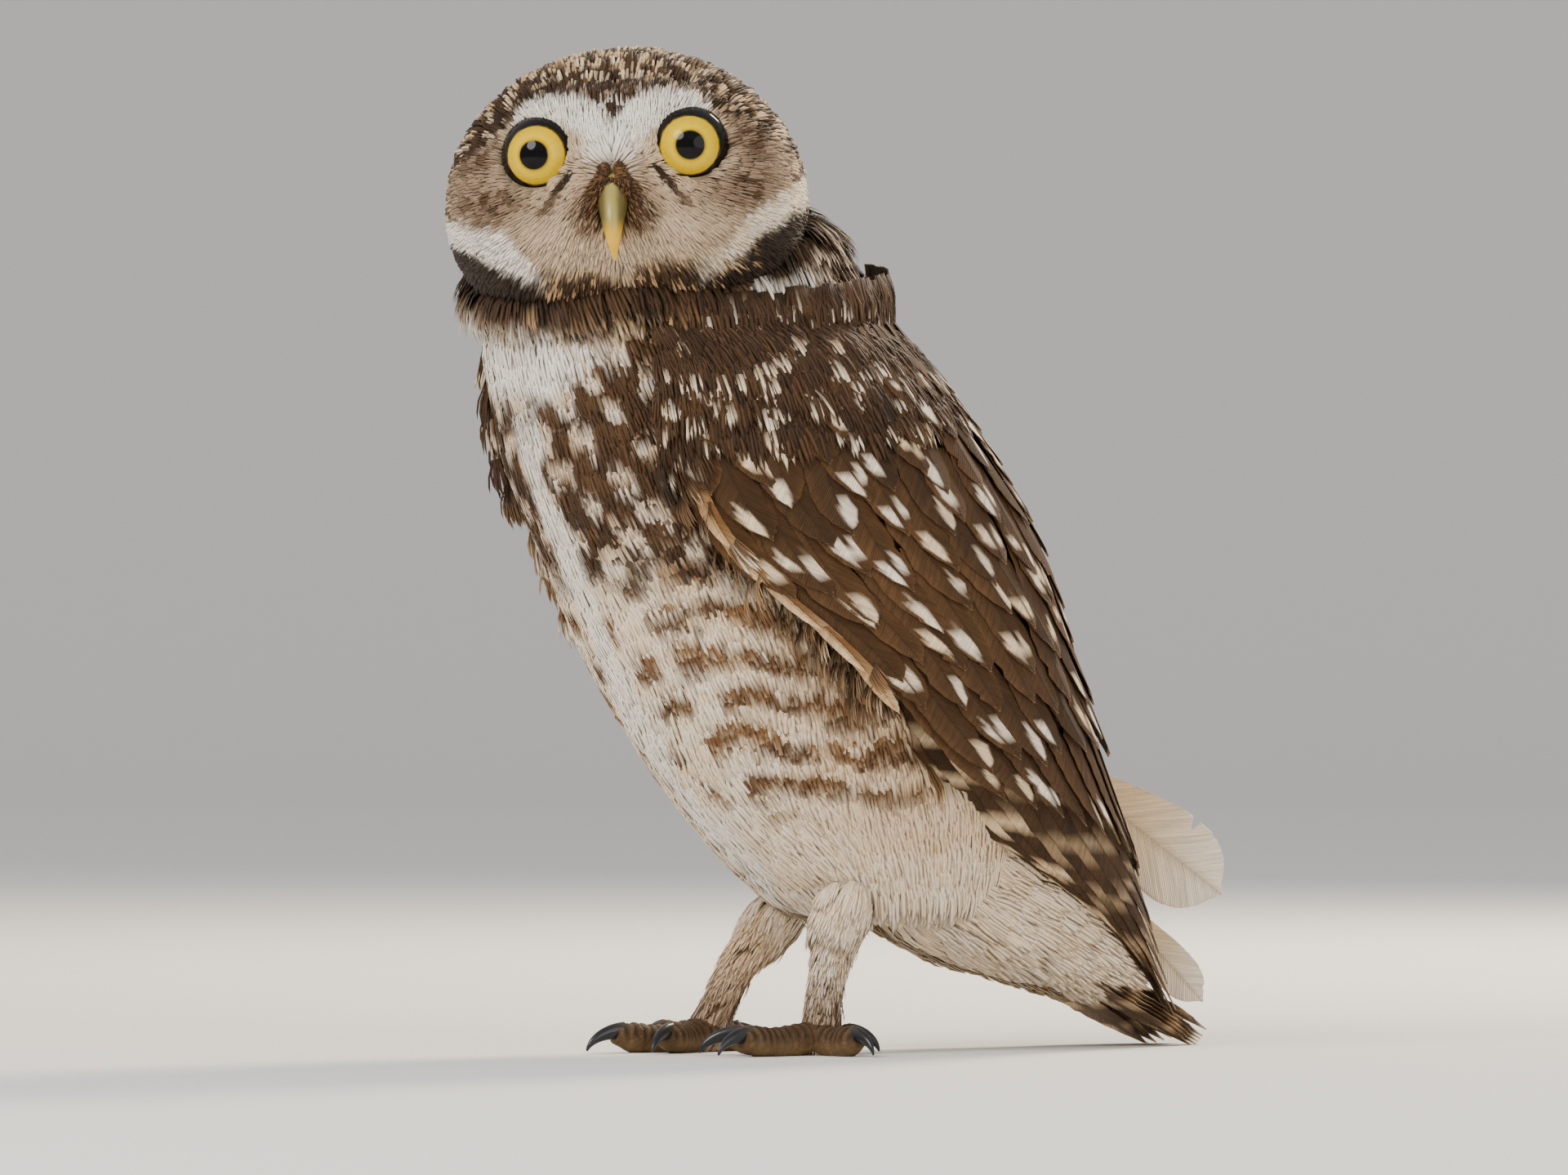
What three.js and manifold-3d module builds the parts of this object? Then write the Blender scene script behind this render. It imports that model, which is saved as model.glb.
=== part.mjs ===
// A burrowing owl, life size, standing on a floor with its head turned to its left.
// Millimetres. -Y is the way the breast faces, +X is the owl's left and +Z is up.
import * as THREE from "three";
import { mergeVertices } from "three/addons/utils/BufferGeometryUtils.js";
import Module from "manifold-3d";

const wasm = await Module();
wasm.setup();

// Driving dimensions
const GAP = 0.32; // between two pieces that touch
const THIN = 0.6; // a feather's thickness
const NECK_Z = 146; // where the neck starts above the torso
const HEAD_AT = [7.7, -35.5, 170.2]; // the middle of the head
const HEAD_TURN = 50.5; // degrees to the owl's left
const HEAD_ROLL = 3.6;
const HEAD_HALF_WIDTH = 36.1;
const CROWN = 31.6; // from the head's middle up
const CHIN = 22; // and down
const FACE = 30; // forward
const NAPE = 32; // back
const EYE_Z = 10.5; // the eyes above the head's middle
const EYE_X = 14.4;
const EYE_RADIUS = 8.5;
const EYE_OPENING = 6.5; // radius inside the lids
const EYE_OUT = 8; // degrees that each eye looks outward
const SOLE = 2.7; // a toe's middle above the floor
const LEG_X = 16; // each leg from the midline

// Height of a section, then where its front and back are along Y, and its half width.
// The outer form of the standing bird with its wings folded, down to the wing tips.
const FIGURE = [
  [3, 98, 113, 13],
  [8, 86, 110.5, 15.5],
  [16, 62, 105, 22],
  [30, 24, 98, 30],
  [45, -10, 91, 35.5],
  [64, -26, 81, 41.5],
  [81, -37.5, 72.5, 44.5],
  [101, -47.5, 64, 46],
  [119, -56.5, 52, 46],
  [133, -59, 40, 44],
  [148, -60, 27, 38],
];

// The torso under the wings.
const TORSO = [
  [28, 20, 48, 11],
  [31, 7, 57, 19],
  [38, -3, 62, 23.5],
  [50, -15, 66, 28],
  [64, -26, 66, 32],
  [81, -36.5, 62, 36],
  [101, -46, 56, 38.5],
  [119, -54, 46, 39],
  [133, -57.5, 35, 38],
  [148, -60.5, 25, 36.5],
];

// The neck, whose top lies inside the head.
const NECK = [
  [144, -60, 29, 37],
  [155, -62.5, 22, 36.5],
  [163, -58, 15, 34.5],
  [170, -50, 8, 30],
  [178, -45, -9, 19],
];

// Degrees round the body from the breast to the wing's leading edge, by height.
const LEADING_EDGE = [
  [3, 90],
  [30, 89],
  [45, 84],
  [64, 73],
  [81, 64],
  [101, 47],
  [120, 45],
  [140, 52],
];

const radians = THREE.MathUtils.degToRad;
const lerp = THREE.MathUtils.lerp;
const clamp = THREE.MathUtils.clamp;
const vec = (x, y, z) => new THREE.Vector3(x, y, z);

// The columns of a table at x, on a smooth curve through its rows.
function along(table, x) {
  const at = clamp(x, table[0][0], table.at(-1)[0]);
  let i = 0;
  while (i < table.length - 2 && at > table[i + 1][0]) i++;
  const slope = (k, c) => {
    const before = table[Math.max(k - 1, 0)];
    const after = table[Math.min(k + 1, table.length - 1)];
    return (after[c] - before[c]) / (after[0] - before[0]);
  };
  const [low, high] = [table[i], table[i + 1]];
  const span = high[0] - low[0];
  const t = (at - low[0]) / span;
  return low.slice(1).map((value, k) => {
    const c = k + 1;
    const rise = t * t * (3 - 2 * t);
    const leave = t * (1 - t) * (1 - t) * span * slope(i, c);
    const arrive = t * t * (t - 1) * span * slope(i + 1, c);
    return lerp(value, high[c], rise) + leave + arrive;
  });
}

// The point of a table's form at height z, so many degrees round from the breast, moved outward by grow.
function onForm(table, z, degrees, grow = 0) {
  const [front, back, half] = along(table, z);
  const a = radians(degrees);
  const depth = (back - front) / 2;
  return vec((half + grow) * Math.sin(a), (front + back) / 2 - (depth + grow) * Math.cos(a), z);
}

// A closed geometry from a sphere's grid: pointAt takes 0 to 1 from end to end, and degrees around.
function closedForm(around, ends, pointAt) {
  const geometry = new THREE.SphereGeometry(1, around, ends);
  const position = geometry.attributes.position;
  for (let i = 0; i < position.count; i++) {
    const [x, y, z] = [position.getX(i), position.getY(i), position.getZ(i)];
    const point = pointAt(Math.acos(clamp(y, -1, 1)) / Math.PI, (Math.atan2(z, x) * 180) / Math.PI);
    position.setXYZ(i, point.x, point.y, point.z);
  }
  return geometry;
}

// The same with a flat cap at each end: the rings run from the first ring to the last.
function ringForm(around, rings, ringPoint, ringMiddle) {
  const steps = rings + 1;
  return closedForm(around, steps, (t, degrees) => {
    const ring = clamp((Math.round(t * steps) - 1) / (rings - 1), 0, 1);
    const onAxis = t < 0.5 / steps || t > 1 - 0.5 / steps;
    return onAxis ? ringMiddle(ring) : ringPoint(ring, degrees);
  });
}

// A form of level rings from a table, from height low to high.
function levelForm(table, low, high, around, rings, grow = 0) {
  const heightAt = (t) => lerp(high + grow, low - grow, t);
  const middle = (t) => {
    const [front, back] = along(table, heightAt(t));
    return vec(0, (front + back) / 2, heightAt(t));
  };
  const point = (t, degrees) => {
    const p = onForm(table, heightAt(t), degrees, grow);
    return p.setZ(heightAt(t));
  };
  return ringForm(around, rings, point, middle);
}

// A limb through stations of middle, half width along the across vector, and half height.
function limb(stations, around, rings, across, grow = 0) {
  const line = new THREE.CatmullRomCurve3(stations.map((s) => vec(...s[0])), false, "centripetal");
  const sizes = new THREE.CatmullRomCurve3(stations.map((s) => vec(s[1], s[2], 0)), false, "centripetal");
  const ringPoint = (t, degrees) => {
    const ahead = line.getTangent(t);
    const side = vec(...across).projectOnPlane(ahead).normalize();
    const top = ahead.clone().cross(side);
    const size = sizes.getPoint(t);
    const a = radians(degrees);
    return line
      .getPoint(t)
      .addScaledVector(side, (size.x + grow) * Math.cos(a))
      .addScaledVector(top, (size.y + grow) * Math.sin(a));
  };
  const ringMiddle = (t) => line.getPoint(t).addScaledVector(line.getTangent(t), t < 0.5 ? -grow : grow);
  return ringForm(around, rings, ringPoint, ringMiddle);
}

// A closed plate: pointAt takes 0 to 1 across, 0 to 1 along, and 1 for its upper face or 0 for its lower.
// Both faces are split into the same triangles.
function plate(across, lengthwise, pointAt) {
  const plane = new THREE.PlaneGeometry(1, 1, across, lengthwise);
  const count = plane.attributes.position.count;
  const points = [];
  for (const face of [1, 0]) {
    for (let i = 0; i < count; i++) {
      points.push(pointAt(plane.attributes.uv.getX(i), 1 - plane.attributes.uv.getY(i), face));
    }
  }
  const upper = Array.from(plane.index.array);
  const index = [...upper];
  for (let i = 0; i < upper.length; i += 3) {
    index.push(upper[i] + count, upper[i + 2] + count, upper[i + 1] + count);
  }
  const row = across + 1;
  const rim = [];
  for (let i = 0; i < across; i++) rim.push(i);
  for (let j = 0; j < lengthwise; j++) rim.push(j * row + across);
  for (let i = across; i > 0; i--) rim.push(lengthwise * row + i);
  for (let j = lengthwise; j > 0; j--) rim.push(j * row);
  rim.forEach((a, k) => {
    const b = rim[(k + 1) % rim.length];
    index.push(a, b, b + count, a, b + count, a + count);
  });
  return new THREE.BufferGeometry().setFromPoints(points).setIndex(index);
}

// A closed geometry as a solid that faces outward, ready to be joined and cut.
function solid(geometry) {
  const bare = geometry.clone();
  bare.deleteAttribute("normal");
  bare.deleteAttribute("uv");
  const merged = mergeVertices(bare, 1e-3);
  const build = (flip) => {
    const triVerts = new Uint32Array(merged.index.array);
    for (let i = 0; flip && i < triVerts.length; i += 3) {
      [triVerts[i + 1], triVerts[i + 2]] = [triVerts[i + 2], triVerts[i + 1]];
    }
    const vertProperties = merged.attributes.position.array;
    return new wasm.Manifold(new wasm.Mesh({ numProp: 3, vertProperties, triVerts }));
  };
  const made = build(false);
  return made.volume() < 0 ? build(true) : made;
}

const joined = (solids) => solids.reduce((all, next) => all.add(next));
const without = (piece, ...cutters) => cutters.reduce((left, cutter) => left.subtract(cutter), piece);
const mirrored = (piece) => piece.mirror([1, 0, 0]);

// The largest closed surface of a solid, as a geometry.
function geometryOf(piece) {
  const [largest] = piece.decompose().sort((a, b) => b.volume() - a.volume());
  const { vertProperties, triVerts } = largest.getMesh();
  const geometry = new THREE.BufferGeometry();
  geometry.setAttribute("position", new THREE.BufferAttribute(new Float32Array(vertProperties), 3));
  geometry.setIndex(new THREE.BufferAttribute(new Uint32Array(triVerts), 1));
  geometry.computeVertexNormals();
  return geometry;
}

// A box with its lower corner and its upper corner.
function block(low, high) {
  const size = high.map((h, i) => h - low[i]);
  const middle = high.map((h, i) => (h + low[i]) / 2);
  return solid(new THREE.BoxGeometry(...size).translate(...middle));
}

const BELOW_FLOOR = block([-200, -200, -50], [200, 200, 0]);

const COLOURS = {
  plumage: { color: 0x6b5138, roughness: 0.9 },
  breast: { color: 0xd9c3a4, roughness: 0.9 },
  face: { color: 0xb7a58e, roughness: 0.9 },
  iris: { color: 0xe0b400, roughness: 0.15 },
  bill: { color: 0xb9b060, roughness: 0.4 },
  leg: { color: 0xcbb9a6, roughness: 0.85 },
  toe: { color: 0x8a7350, roughness: 0.8 },
  claw: { color: 0x22242a, roughness: 0.3 },
};

function mesh(name, piece, look) {
  const made = new THREE.Mesh(geometryOf(piece), new THREE.MeshStandardMaterial({ ...COLOURS[look], metalness: 0 }));
  made.name = name;
  return made;
}

// The head, in its own frame: -Y is where the face looks, and the middle of the head is the origin.
const FACE_SQUARE = 2.5; // how square the face is from above, where 2 is an ellipse
const JAW_SQUARE = 2.4; // and the head's outline under its middle

// How far the face's surface stands forward of the plain form at x and z.
function faceRelief(x, z) {
  const bump = (dx, dz, wide, high) => Math.exp(-((dx / wide) ** 2) - (dz / high) ** 2);
  const side = Math.abs(x);
  const brow = 2.4 * bump(side - 11, z - EYE_Z - 9.5, 9, 3.5);
  const bridge = 1.6 * bump(side, z - EYE_Z, 5, 10);
  const dish = -3.2 * bump(side - EYE_X - 1, z - EYE_Z + 1, 9.5, 9);
  const cheek = 1.8 * bump(side - 19, z + 8, 12, 8);
  const muzzle = 3.0 * bump(side, z - EYE_Z + 14, 8.5, 9);
  return brow + bridge + dish + cheek + muzzle;
}

function headPoint(t, degrees, grow) {
  const fall = Math.PI * t;
  const [across, lift] = [Math.sin(fall), Math.cos(fall)];
  const a = radians(degrees);
  const bend = lift > 0 ? 2 : JAW_SQUARE;
  const spread = (1 - Math.min(Math.abs(lift) ** bend, 1)) ** (1 / bend);
  const z = lift * (lift > 0 ? CROWN : CHIN);
  const [sx, sy] = [Math.sin(a), -Math.cos(a)];
  const square = sy < 0 ? FACE_SQUARE : 2;
  const reach = (Math.abs(sx) ** square + Math.abs(sy) ** square) ** (-1 / square);
  const x = HEAD_HALF_WIDTH * spread * reach * sx;
  const y = (sy < 0 ? FACE : NAPE) * spread * reach * sy;
  const facing = clamp(-sy * 1.6 - 0.2, 0, 1) * across;
  const out = vec(x, y, z).normalize();
  return vec(x, y - faceRelief(x, z) * facing, z).addScaledVector(out, grow);
}

const headForm = (grow = 0) => solid(closedForm(32, 21, (t, degrees) => headPoint(t, degrees, grow)));

const eyeTurn = (side) => radians(side * EYE_OUT);
const LID_DEPTH = Math.sqrt(EYE_RADIUS ** 2 - EYE_OPENING ** 2);
const EYE_Y = -(24.5 - LID_DEPTH);

function eyeball(side, grow = 0) {
  const ball = new THREE.SphereGeometry(EYE_RADIUS + grow, 16, 10).rotateX(Math.PI / 2);
  return solid(ball.rotateZ(eyeTurn(side)).translate(side * EYE_X, EYE_Y, EYE_Z));
}

// The hollow in the face round each eye.
function socket(side) {
  const bowl = new THREE.SphereGeometry(1, 15, 8).scale(9.4, 6, 9.2).translate(0, -LID_DEPTH - 4.4, 0);
  return solid(bowl.rotateZ(eyeTurn(side)).translate(side * EYE_X, EYE_Y, EYE_Z));
}

// A rim round the eye's opening, a little pointed at the outer upper corner.
function eyelid(side) {
  const [radius, thick] = [EYE_OPENING + 0.5, 1.25];
  const ring = new THREE.TorusGeometry(radius, thick, 6, 16).rotateX(Math.PI / 2).translate(0, -LID_DEPTH, 0);
  return solid(ring.rotateZ(eyeTurn(side)).translate(side * EYE_X, EYE_Y, EYE_Z));
}

// Stations of middle, half width and half height from the brow to the hooked tip.
const UPPER_BILL = [
  [[0, -22, EYE_Z - 7], 4.2, 3.8],
  [[0, -30, EYE_Z - 9], 4.0, 3.9],
  [[0, -34.9, EYE_Z - 12.8], 3.2, 3.1],
  [[0, -36.6, EYE_Z - 17.6], 1.9, 2.0],
  [[0, -35.6, EYE_Z - 22], 0.5, 0.5],
];
const LOWER_BILL = [
  [[0, -22, EYE_Z - 13.3], 3.4, 2.0],
  [[0, -30, EYE_Z - 15], 2.6, 1.7],
  [[0, -33.4, EYE_Z - 17.2], 0.8, 0.7],
];
const upperBill = (grow = 0) => solid(limb(UPPER_BILL, 10, 7, [1, 0, 0], grow));
const NOSTRIL = { x: 3.4, y: -32.2, z: EYE_Z - 8.6, radius: 0.9 };

function nostril(side) {
  const hole = new THREE.SphereGeometry(NOSTRIL.radius, 8, 6);
  return solid(hole.translate(side * NOSTRIL.x, NOSTRIL.y, NOSTRIL.z));
}

function makeHead() {
  const group = new THREE.Group();
  group.position.set(...HEAD_AT);
  group.rotation.set(0, radians(-HEAD_ROLL), radians(HEAD_TURN), "ZYX");
  const face = without(headForm(), socket(1), socket(-1));
  const whole = joined([face, eyelid(1), eyelid(-1)]);
  const bill = without(upperBill(), headForm(GAP), nostril(1), nostril(-1));
  const lower = without(solid(limb(LOWER_BILL, 10, 5, [1, 0, 0])), headForm(GAP), upperBill(GAP));
  group.add(mesh("head", without(whole, eyeball(1, GAP), eyeball(-1, GAP)), "face"));
  group.add(mesh("bill_upper", bill, "bill"));
  group.add(mesh("bill_lower", lower, "bill"));
  group.add(mesh("eye_left", eyeball(1), "iris"));
  group.add(mesh("eye_right", eyeball(-1), "iris"));
  group.updateMatrix();
  return group;
}

const headGroup = makeHead();
const placedHead = (grow) => headForm(grow).transform(headGroup.matrix.toArray());

// The torso and the neck meet on a level cut.
const torsoForm = (grow = 0) => solid(levelForm(TORSO, TORSO[0][0], NECK_Z, 26, 14, grow));
const neckForm = (grow = 0) => solid(levelForm(NECK, NECK_Z + GAP, 178, 24, 6, grow));

// The wing's outer surface: 0 to 1 from the shoulder to the tip, and from the leading edge to the back.
const WING_TOP = 138;
const WING_TIP = 5;
const BACK_TOP = 146;
const MID_BACK = 174; // degrees round to the edge beside the spine

function wingSurface(s, t) {
  const zLead = lerp(WING_TOP, WING_TIP, s);
  const zBack = lerp(BACK_TOP, WING_TIP + 3, s);
  const [lead] = along(LEADING_EDGE, zLead);
  return onForm(FIGURE, lerp(zLead, zBack, t), lerp(lead, MID_BACK, t));
}

// A point that stands out from that surface, or inside it where out is below zero.
function wingPoint(s, t, out) {
  const step = 0.01;
  const downward = wingSurface(s + step, t).sub(wingSurface(s - step, t));
  const backward = wingSurface(s, t + step).sub(wingSurface(s, t - step));
  return wingSurface(s, t).addScaledVector(backward.cross(downward).normalize(), -out);
}

// A feather's half width along its length, as a share of its widest.
const VANE = [
  [0, 0.45],
  [0.35, 0.85],
  [0.65, 1],
  [0.85, 0.84],
  [0.96, 0.45],
  [1, 0.14],
];
const LONG_STEPS = [0, 0.4, 0.74, 0.92, 1];
const SHORT_STEPS = [0.25, 0.62, 0.87, 1];

// A feather on the wing from its root to its tip, each given as how far down the wing and how far back.
// level is its top's place out from the surface; tilt slopes it so that it slips under its neighbour.
function wingFeather({ root, tip, half, level, tilt = 0, thick = THIN, lift = 0, steps = LONG_STEPS }) {
  const last = steps.length - 1;
  const point = (a, u, face) => {
    const reach = steps[Math.round(u * last)];
    const s = lerp(root[0], tip[0], reach);
    const x = (a * 2 - 1) * half * along(VANE, reach)[0];
    const span = wingSurface(s, 0.6).distanceTo(wingSurface(s, 0.4)) * 5;
    const t = lerp(root[1], tip[1], reach) + x / span;
    return wingPoint(s, t, level + lift * reach - tilt * x - (face ? 0 : thick));
  };
  return solid(plate(2, last, point));
}

// Rows of feathers: how many, how far down the wing their roots and tips lie, from the first to the last,
// and how far back. The coverts are thick enough to sink into what is under them.
const ROWS = [
  { count: 4, root: [0.02, 0.02], tip: [0.3, 0.3], back: [0.1, 0.62], half: 8.5, level: -0.5, sink: 3 },
  { count: 4, root: [0.2, 0.18], tip: [0.44, 0.43], back: [0.08, 0.66], half: 8, level: -1.2, sink: 3 },
  { count: 5, root: [0.33, 0.33], tip: [0.56, 0.6], back: [0.07, 0.72], half: 7, level: -1.9, sink: 3 },
  { count: 2, root: [0.0, 0.0], tip: [0.24, 0.25], back: [0.8, 0.97], half: 8, level: 0, sink: 3.5 },
  { count: 2, root: [0.14, 0.14], tip: [0.4, 0.42], back: [0.76, 0.95], half: 7.5, level: -0.5, sink: 3.5 },
  { count: 2, root: [0.32, 0.32], tip: [0.58, 0.6], back: [0.82, 0.97], half: 7, level: -1.2, sink: 3.5 },
];
const LAYER = THIN + 0.36;
const PRIMARY_TIPS = [0.88, 0.96, 1, 0.99, 0.94, 0.88];

function wingFeathers() {
  const share = (i, count) => i / (count - 1);
  const coverts = ROWS.flatMap(({ count, root, tip, back, half, level, sink }) =>
    [...Array(count).keys()].map((i) => {
      const k = share(i, count);
      const t = lerp(back[0], back[1], k);
      const from = [lerp(root[0], root[1], k), t];
      const to = [lerp(tip[0], tip[1], k), t];
      return wingFeather({ root: from, tip: to, half, level, thick: sink, lift: 0.7, steps: SHORT_STEPS });
    }),
  );
  const secondaries = [0, 1, 2, 3, 4].map((i) => {
    const k = share(i, 5);
    const tip = [lerp(0.68, 0.8, k), lerp(0.2, 0.92, k)];
    return wingFeather({ root: [0.4, lerp(0.12, 0.9, k)], tip, half: 6.5, level: -2.9, tilt: 0.14 });
  });
  const primaries = PRIMARY_TIPS.map((end, i) => {
    const k = share(i, PRIMARY_TIPS.length);
    const level = -4.4 - (PRIMARY_TIPS.length - 1 - i) * LAYER;
    return wingFeather({ root: [0.42, lerp(0.04, 0.3, k)], tip: [end, lerp(0.12, 0.8, k)], half: 6.2, level });
  });
  return [...coverts, ...secondaries, ...primaries];
}

// The wing's body, which holds the roots.
const WING_END = 0.53;
const wingBody = () => {
  const surface = (t, s, face) => {
    const under = lerp(-7, -11, s);
    return wingPoint(s * WING_END, lerp(0.015, 1, t), face ? lerp(-1.6, -3.4, s) : under);
  };
  return solid(plate(6, 5, surface));
};

const LEFT_SIDE = block([0.4, -200, -50], [200, 200, 300]);

// The tail: its root in the rump, and its tip laid on the floor.
const TAIL_ROOT = [0, 46, 35.8];
const TAIL_LENGTH = 73;
const TAIL_FALL = 26; // degrees below level
const TAIL_TURN = 1; // degrees to the owl's right
const TAIL_PAIRS = 6;
const tailFrame = new THREE.Matrix4()
  .makeTranslation(...TAIL_ROOT)
  .multiply(new THREE.Matrix4().makeRotationZ(radians(TAIL_TURN)))
  .multiply(new THREE.Matrix4().makeRotationX(radians(-TAIL_FALL)));

// A tail feather in the tail's frame: its pair counted from the middle, and its side.
function tailFeather(pair, side) {
  const last = LONG_STEPS.length - 1;
  const length = TAIL_LENGTH - 0.9 * pair;
  const level = -LAYER * (pair + (pair > 0 || side < 0 ? 1 : 0));
  const point = (a, u, face) => {
    const reach = LONG_STEPS[Math.round(u * last)];
    const x = (a * 2 - 1) * 6 * along(VANE, reach)[0];
    const middle = side * lerp(1.5 + 0.5 * pair, 3 + 0.9 * pair, reach);
    const across = pair > 0 ? side * Math.max(side * (middle + x), 0.5) : middle + x;
    return vec(across, reach * length, level - 0.004 * across ** 2 + (face ? 0 : -THIN));
  };
  return solid(plate(2, last, point));
}

const TAIL_COVERTS = [
  [[0, -14, -4], 17, 12],
  [[0, 8, -4.5], 17, 9],
  [[0, 26, -3.5], 13, 5],
  [[0, 42, -3], 9, 2.6],
];

function makeTail() {
  const feathers = [...Array(TAIL_PAIRS).keys()].flatMap((pair) => [tailFeather(pair, 1), tailFeather(pair, -1)]);
  const coverts = solid(limb(TAIL_COVERTS, 16, 7, [1, 0, 0]));
  return joined([coverts, ...feathers]).transform(tailFrame.toArray());
}

// The room that the tail needs, from just under it to just over it.
function tailRoom() {
  const slab = (t, s, face) => {
    const x = (t * 2 - 1) * lerp(11, 15, s);
    return vec(x, lerp(-5, TAIL_LENGTH + 4, s), -0.004 * x * x + (face ? GAP : -LAYER * (TAIL_PAIRS + 1)));
  };
  const coverts = solid(limb(TAIL_COVERTS, 16, 7, [1, 0, 0], GAP));
  return joined([coverts, solid(plate(4, 4, slab))]).transform(tailFrame.toArray());
}

// Legs: the feathered shin under the belly, the shank down to the toes, and the foot.
const LEGS = {
  left: { side: 1, shin: [[14, 16, 42], [15.5, 11, 27]], shank: [15.5, 11, 27], foot: [LEG_X, 4.5], turn: -6 },
  right: { side: -1, shin: [[-14, 23, 42], [-15.5, 16.5, 27]], shank: [-15.5, 16.5, 27], foot: [-LEG_X, -1], turn: 8 },
};
const SHIN_END = 27;
const SHANK_END = 7;

const shinForm = ({ shin: [top, low] }) =>
  solid(limb([[top, 13, 14], [low, 6.6, 7.2]], 18, 5, [1, 0, 0]));
const shankForm = ({ shank, foot: [x, y] }) =>
  solid(limb([[shank, 5.2, 5.6], [[x, (y + shank[1]) / 2, 17], 4.1, 4.5], [[x, y + 1, SHANK_END - 2], 4.4, 4.8]], 14, 6, [1, 0, 0]));

// Each toe: degrees from straight ahead, towards the outer side, its length and how thick it is.
const TOES = [
  { name: "inner", aim: -22, length: 17, thick: 3.3, claw: 10.5 },
  { name: "middle", aim: 14, length: 20, thick: 3.3, claw: 10.5 },
  { name: "outer", aim: 96, length: 15, thick: 3.1, claw: 9 },
  { name: "hind", aim: 188, length: 10.5, thick: 3.1, claw: 9.5 },
];

// The point at a distance along a toe's line and a height, in the foot's frame.
const onToe = (aim, reach, z) => [Math.sin(radians(aim)) * reach, -Math.cos(radians(aim)) * reach, z];

function toeForm({ aim, length, thick }) {
  const stations = [
    [onToe(aim, 0, SOLE + 1), thick + 0.6, thick],
    [onToe(aim, length * 0.5, SOLE - 0.1), thick - 0.5, SOLE + 0.3],
    [onToe(aim, length * 0.82, SOLE + 0.5), thick - 0.1, SOLE + 0.2],
    [onToe(aim, length, SOLE + 0.9), thick * 0.66, SOLE * 0.6],
  ];
  return solid(limb(stations, 8, 5, onToe(aim + 90, 1, 0)));
}

function clawForm({ aim, length, claw }) {
  const [start, radius] = [length - 2, claw * 0.82];
  const drop = (SOLE + 1.3) / (1 - Math.cos(radians(80)));
  const stations = [0, 0.3, 0.6, 0.85, 1].map((t) => {
    const a = radians(80 * t);
    const slim = lerp(1.8, 0.3, t ** 1.2);
    const place = onToe(aim, start + radius * Math.sin(a), SOLE + 1.8 - drop * (1 - Math.cos(a)));
    return [place, slim * 0.85, slim];
  });
  return solid(limb(stations, 6, 6, onToe(aim + 90, 1, 0)));
}

const HUB = [[[0, -3, SOLE + 0.6], 4.6, 3.2], [[0, 3.5, SOLE + 0.8], 4.4, 3.4]];
const hubForm = () => solid(limb(HUB, 12, 4, [1, 0, 0]));

function makeFoot(name, { side, foot, turn }, shank) {
  const group = new THREE.Group();
  group.position.set(foot[0], foot[1], 0);
  group.rotation.z = radians(turn);
  group.updateMatrix();
  const local = (piece) => piece.transform(group.matrix.clone().invert().toArray());
  const toes = TOES.map((toe) => ({ ...toe, aim: toe.aim * side }));
  const leg = local(shank);
  const whole = without(joined([hubForm(), ...toes.map(toeForm)]), leg, BELOW_FLOOR);
  group.add(mesh("foot_" + name, whole, "toe"));
  return { group, toes, whole };
}

function makeLeg(name, spec, torso) {
  const group = new THREE.Group();
  const above = block([-100, -100, SHIN_END + GAP], [100, 100, 80]);
  const shin = shinForm(spec).intersect(above);
  const below = block([-100, -100, SHANK_END], [100, 100, SHIN_END]);
  const shank = shankForm(spec).intersect(below);
  const grownShank = shankForm(spec).intersect(block([-100, -100, SHANK_END - GAP], [100, 100, SHIN_END]));
  group.add(mesh("thigh_" + name, without(shin, torso), "breast"));
  group.add(mesh("shank_" + name, shank, "leg"));
  const foot = makeFoot(name, spec, grownShank);
  foot.toes.forEach((toe, i) => {
    const claw = without(clawForm(toe), foot.whole, BELOW_FLOOR);
    foot.group.add(mesh(`claw_${name}_${toe.name}`, claw, "claw"));
  });
  group.add(foot.group);
  return group;
}

const owl = new THREE.Group();
const grownTorso = torsoForm(GAP);
const tail = without(makeTail(), grownTorso, BELOW_FLOOR);
const tailSpace = tailRoom();
const leftWing = joined([wingBody(), ...wingFeathers()]).intersect(LEFT_SIDE);
const fitted = (wing) => without(wing, grownTorso, neckForm(GAP), tailSpace);
owl.add(headGroup);
owl.add(mesh("torso", torsoForm(), "breast"));
owl.add(mesh("neck", without(neckForm(), placedHead(GAP)), "breast"));
owl.add(mesh("tail", tail, "plumage"));
owl.add(mesh("wing_left", fitted(leftWing), "plumage"));
owl.add(mesh("wing_right", fitted(mirrored(leftWing)), "plumage"));
owl.add(makeLeg("left", LEGS.left, grownTorso));
owl.add(makeLeg("right", LEGS.right, grownTorso));

// The origin goes to the middle of the box round the owl, on the floor.
const box = new THREE.Box3().setFromObject(owl, true);
const middle = box.getCenter(vec(0, 0, 0));
owl.position.set(-middle.x, -middle.y, -box.min.z);
const centred = new THREE.Group();
centred.add(owl);

export default centred;
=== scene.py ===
"""The looks of a burrowing owl: its eyes, bill, feet, skin and every feather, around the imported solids.

The forms are worked out in millimetres in the solids' own frame before centring: -Y is the way the breast
faces, +X is the owl's left and +Z is up. place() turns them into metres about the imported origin.
"""

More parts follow.
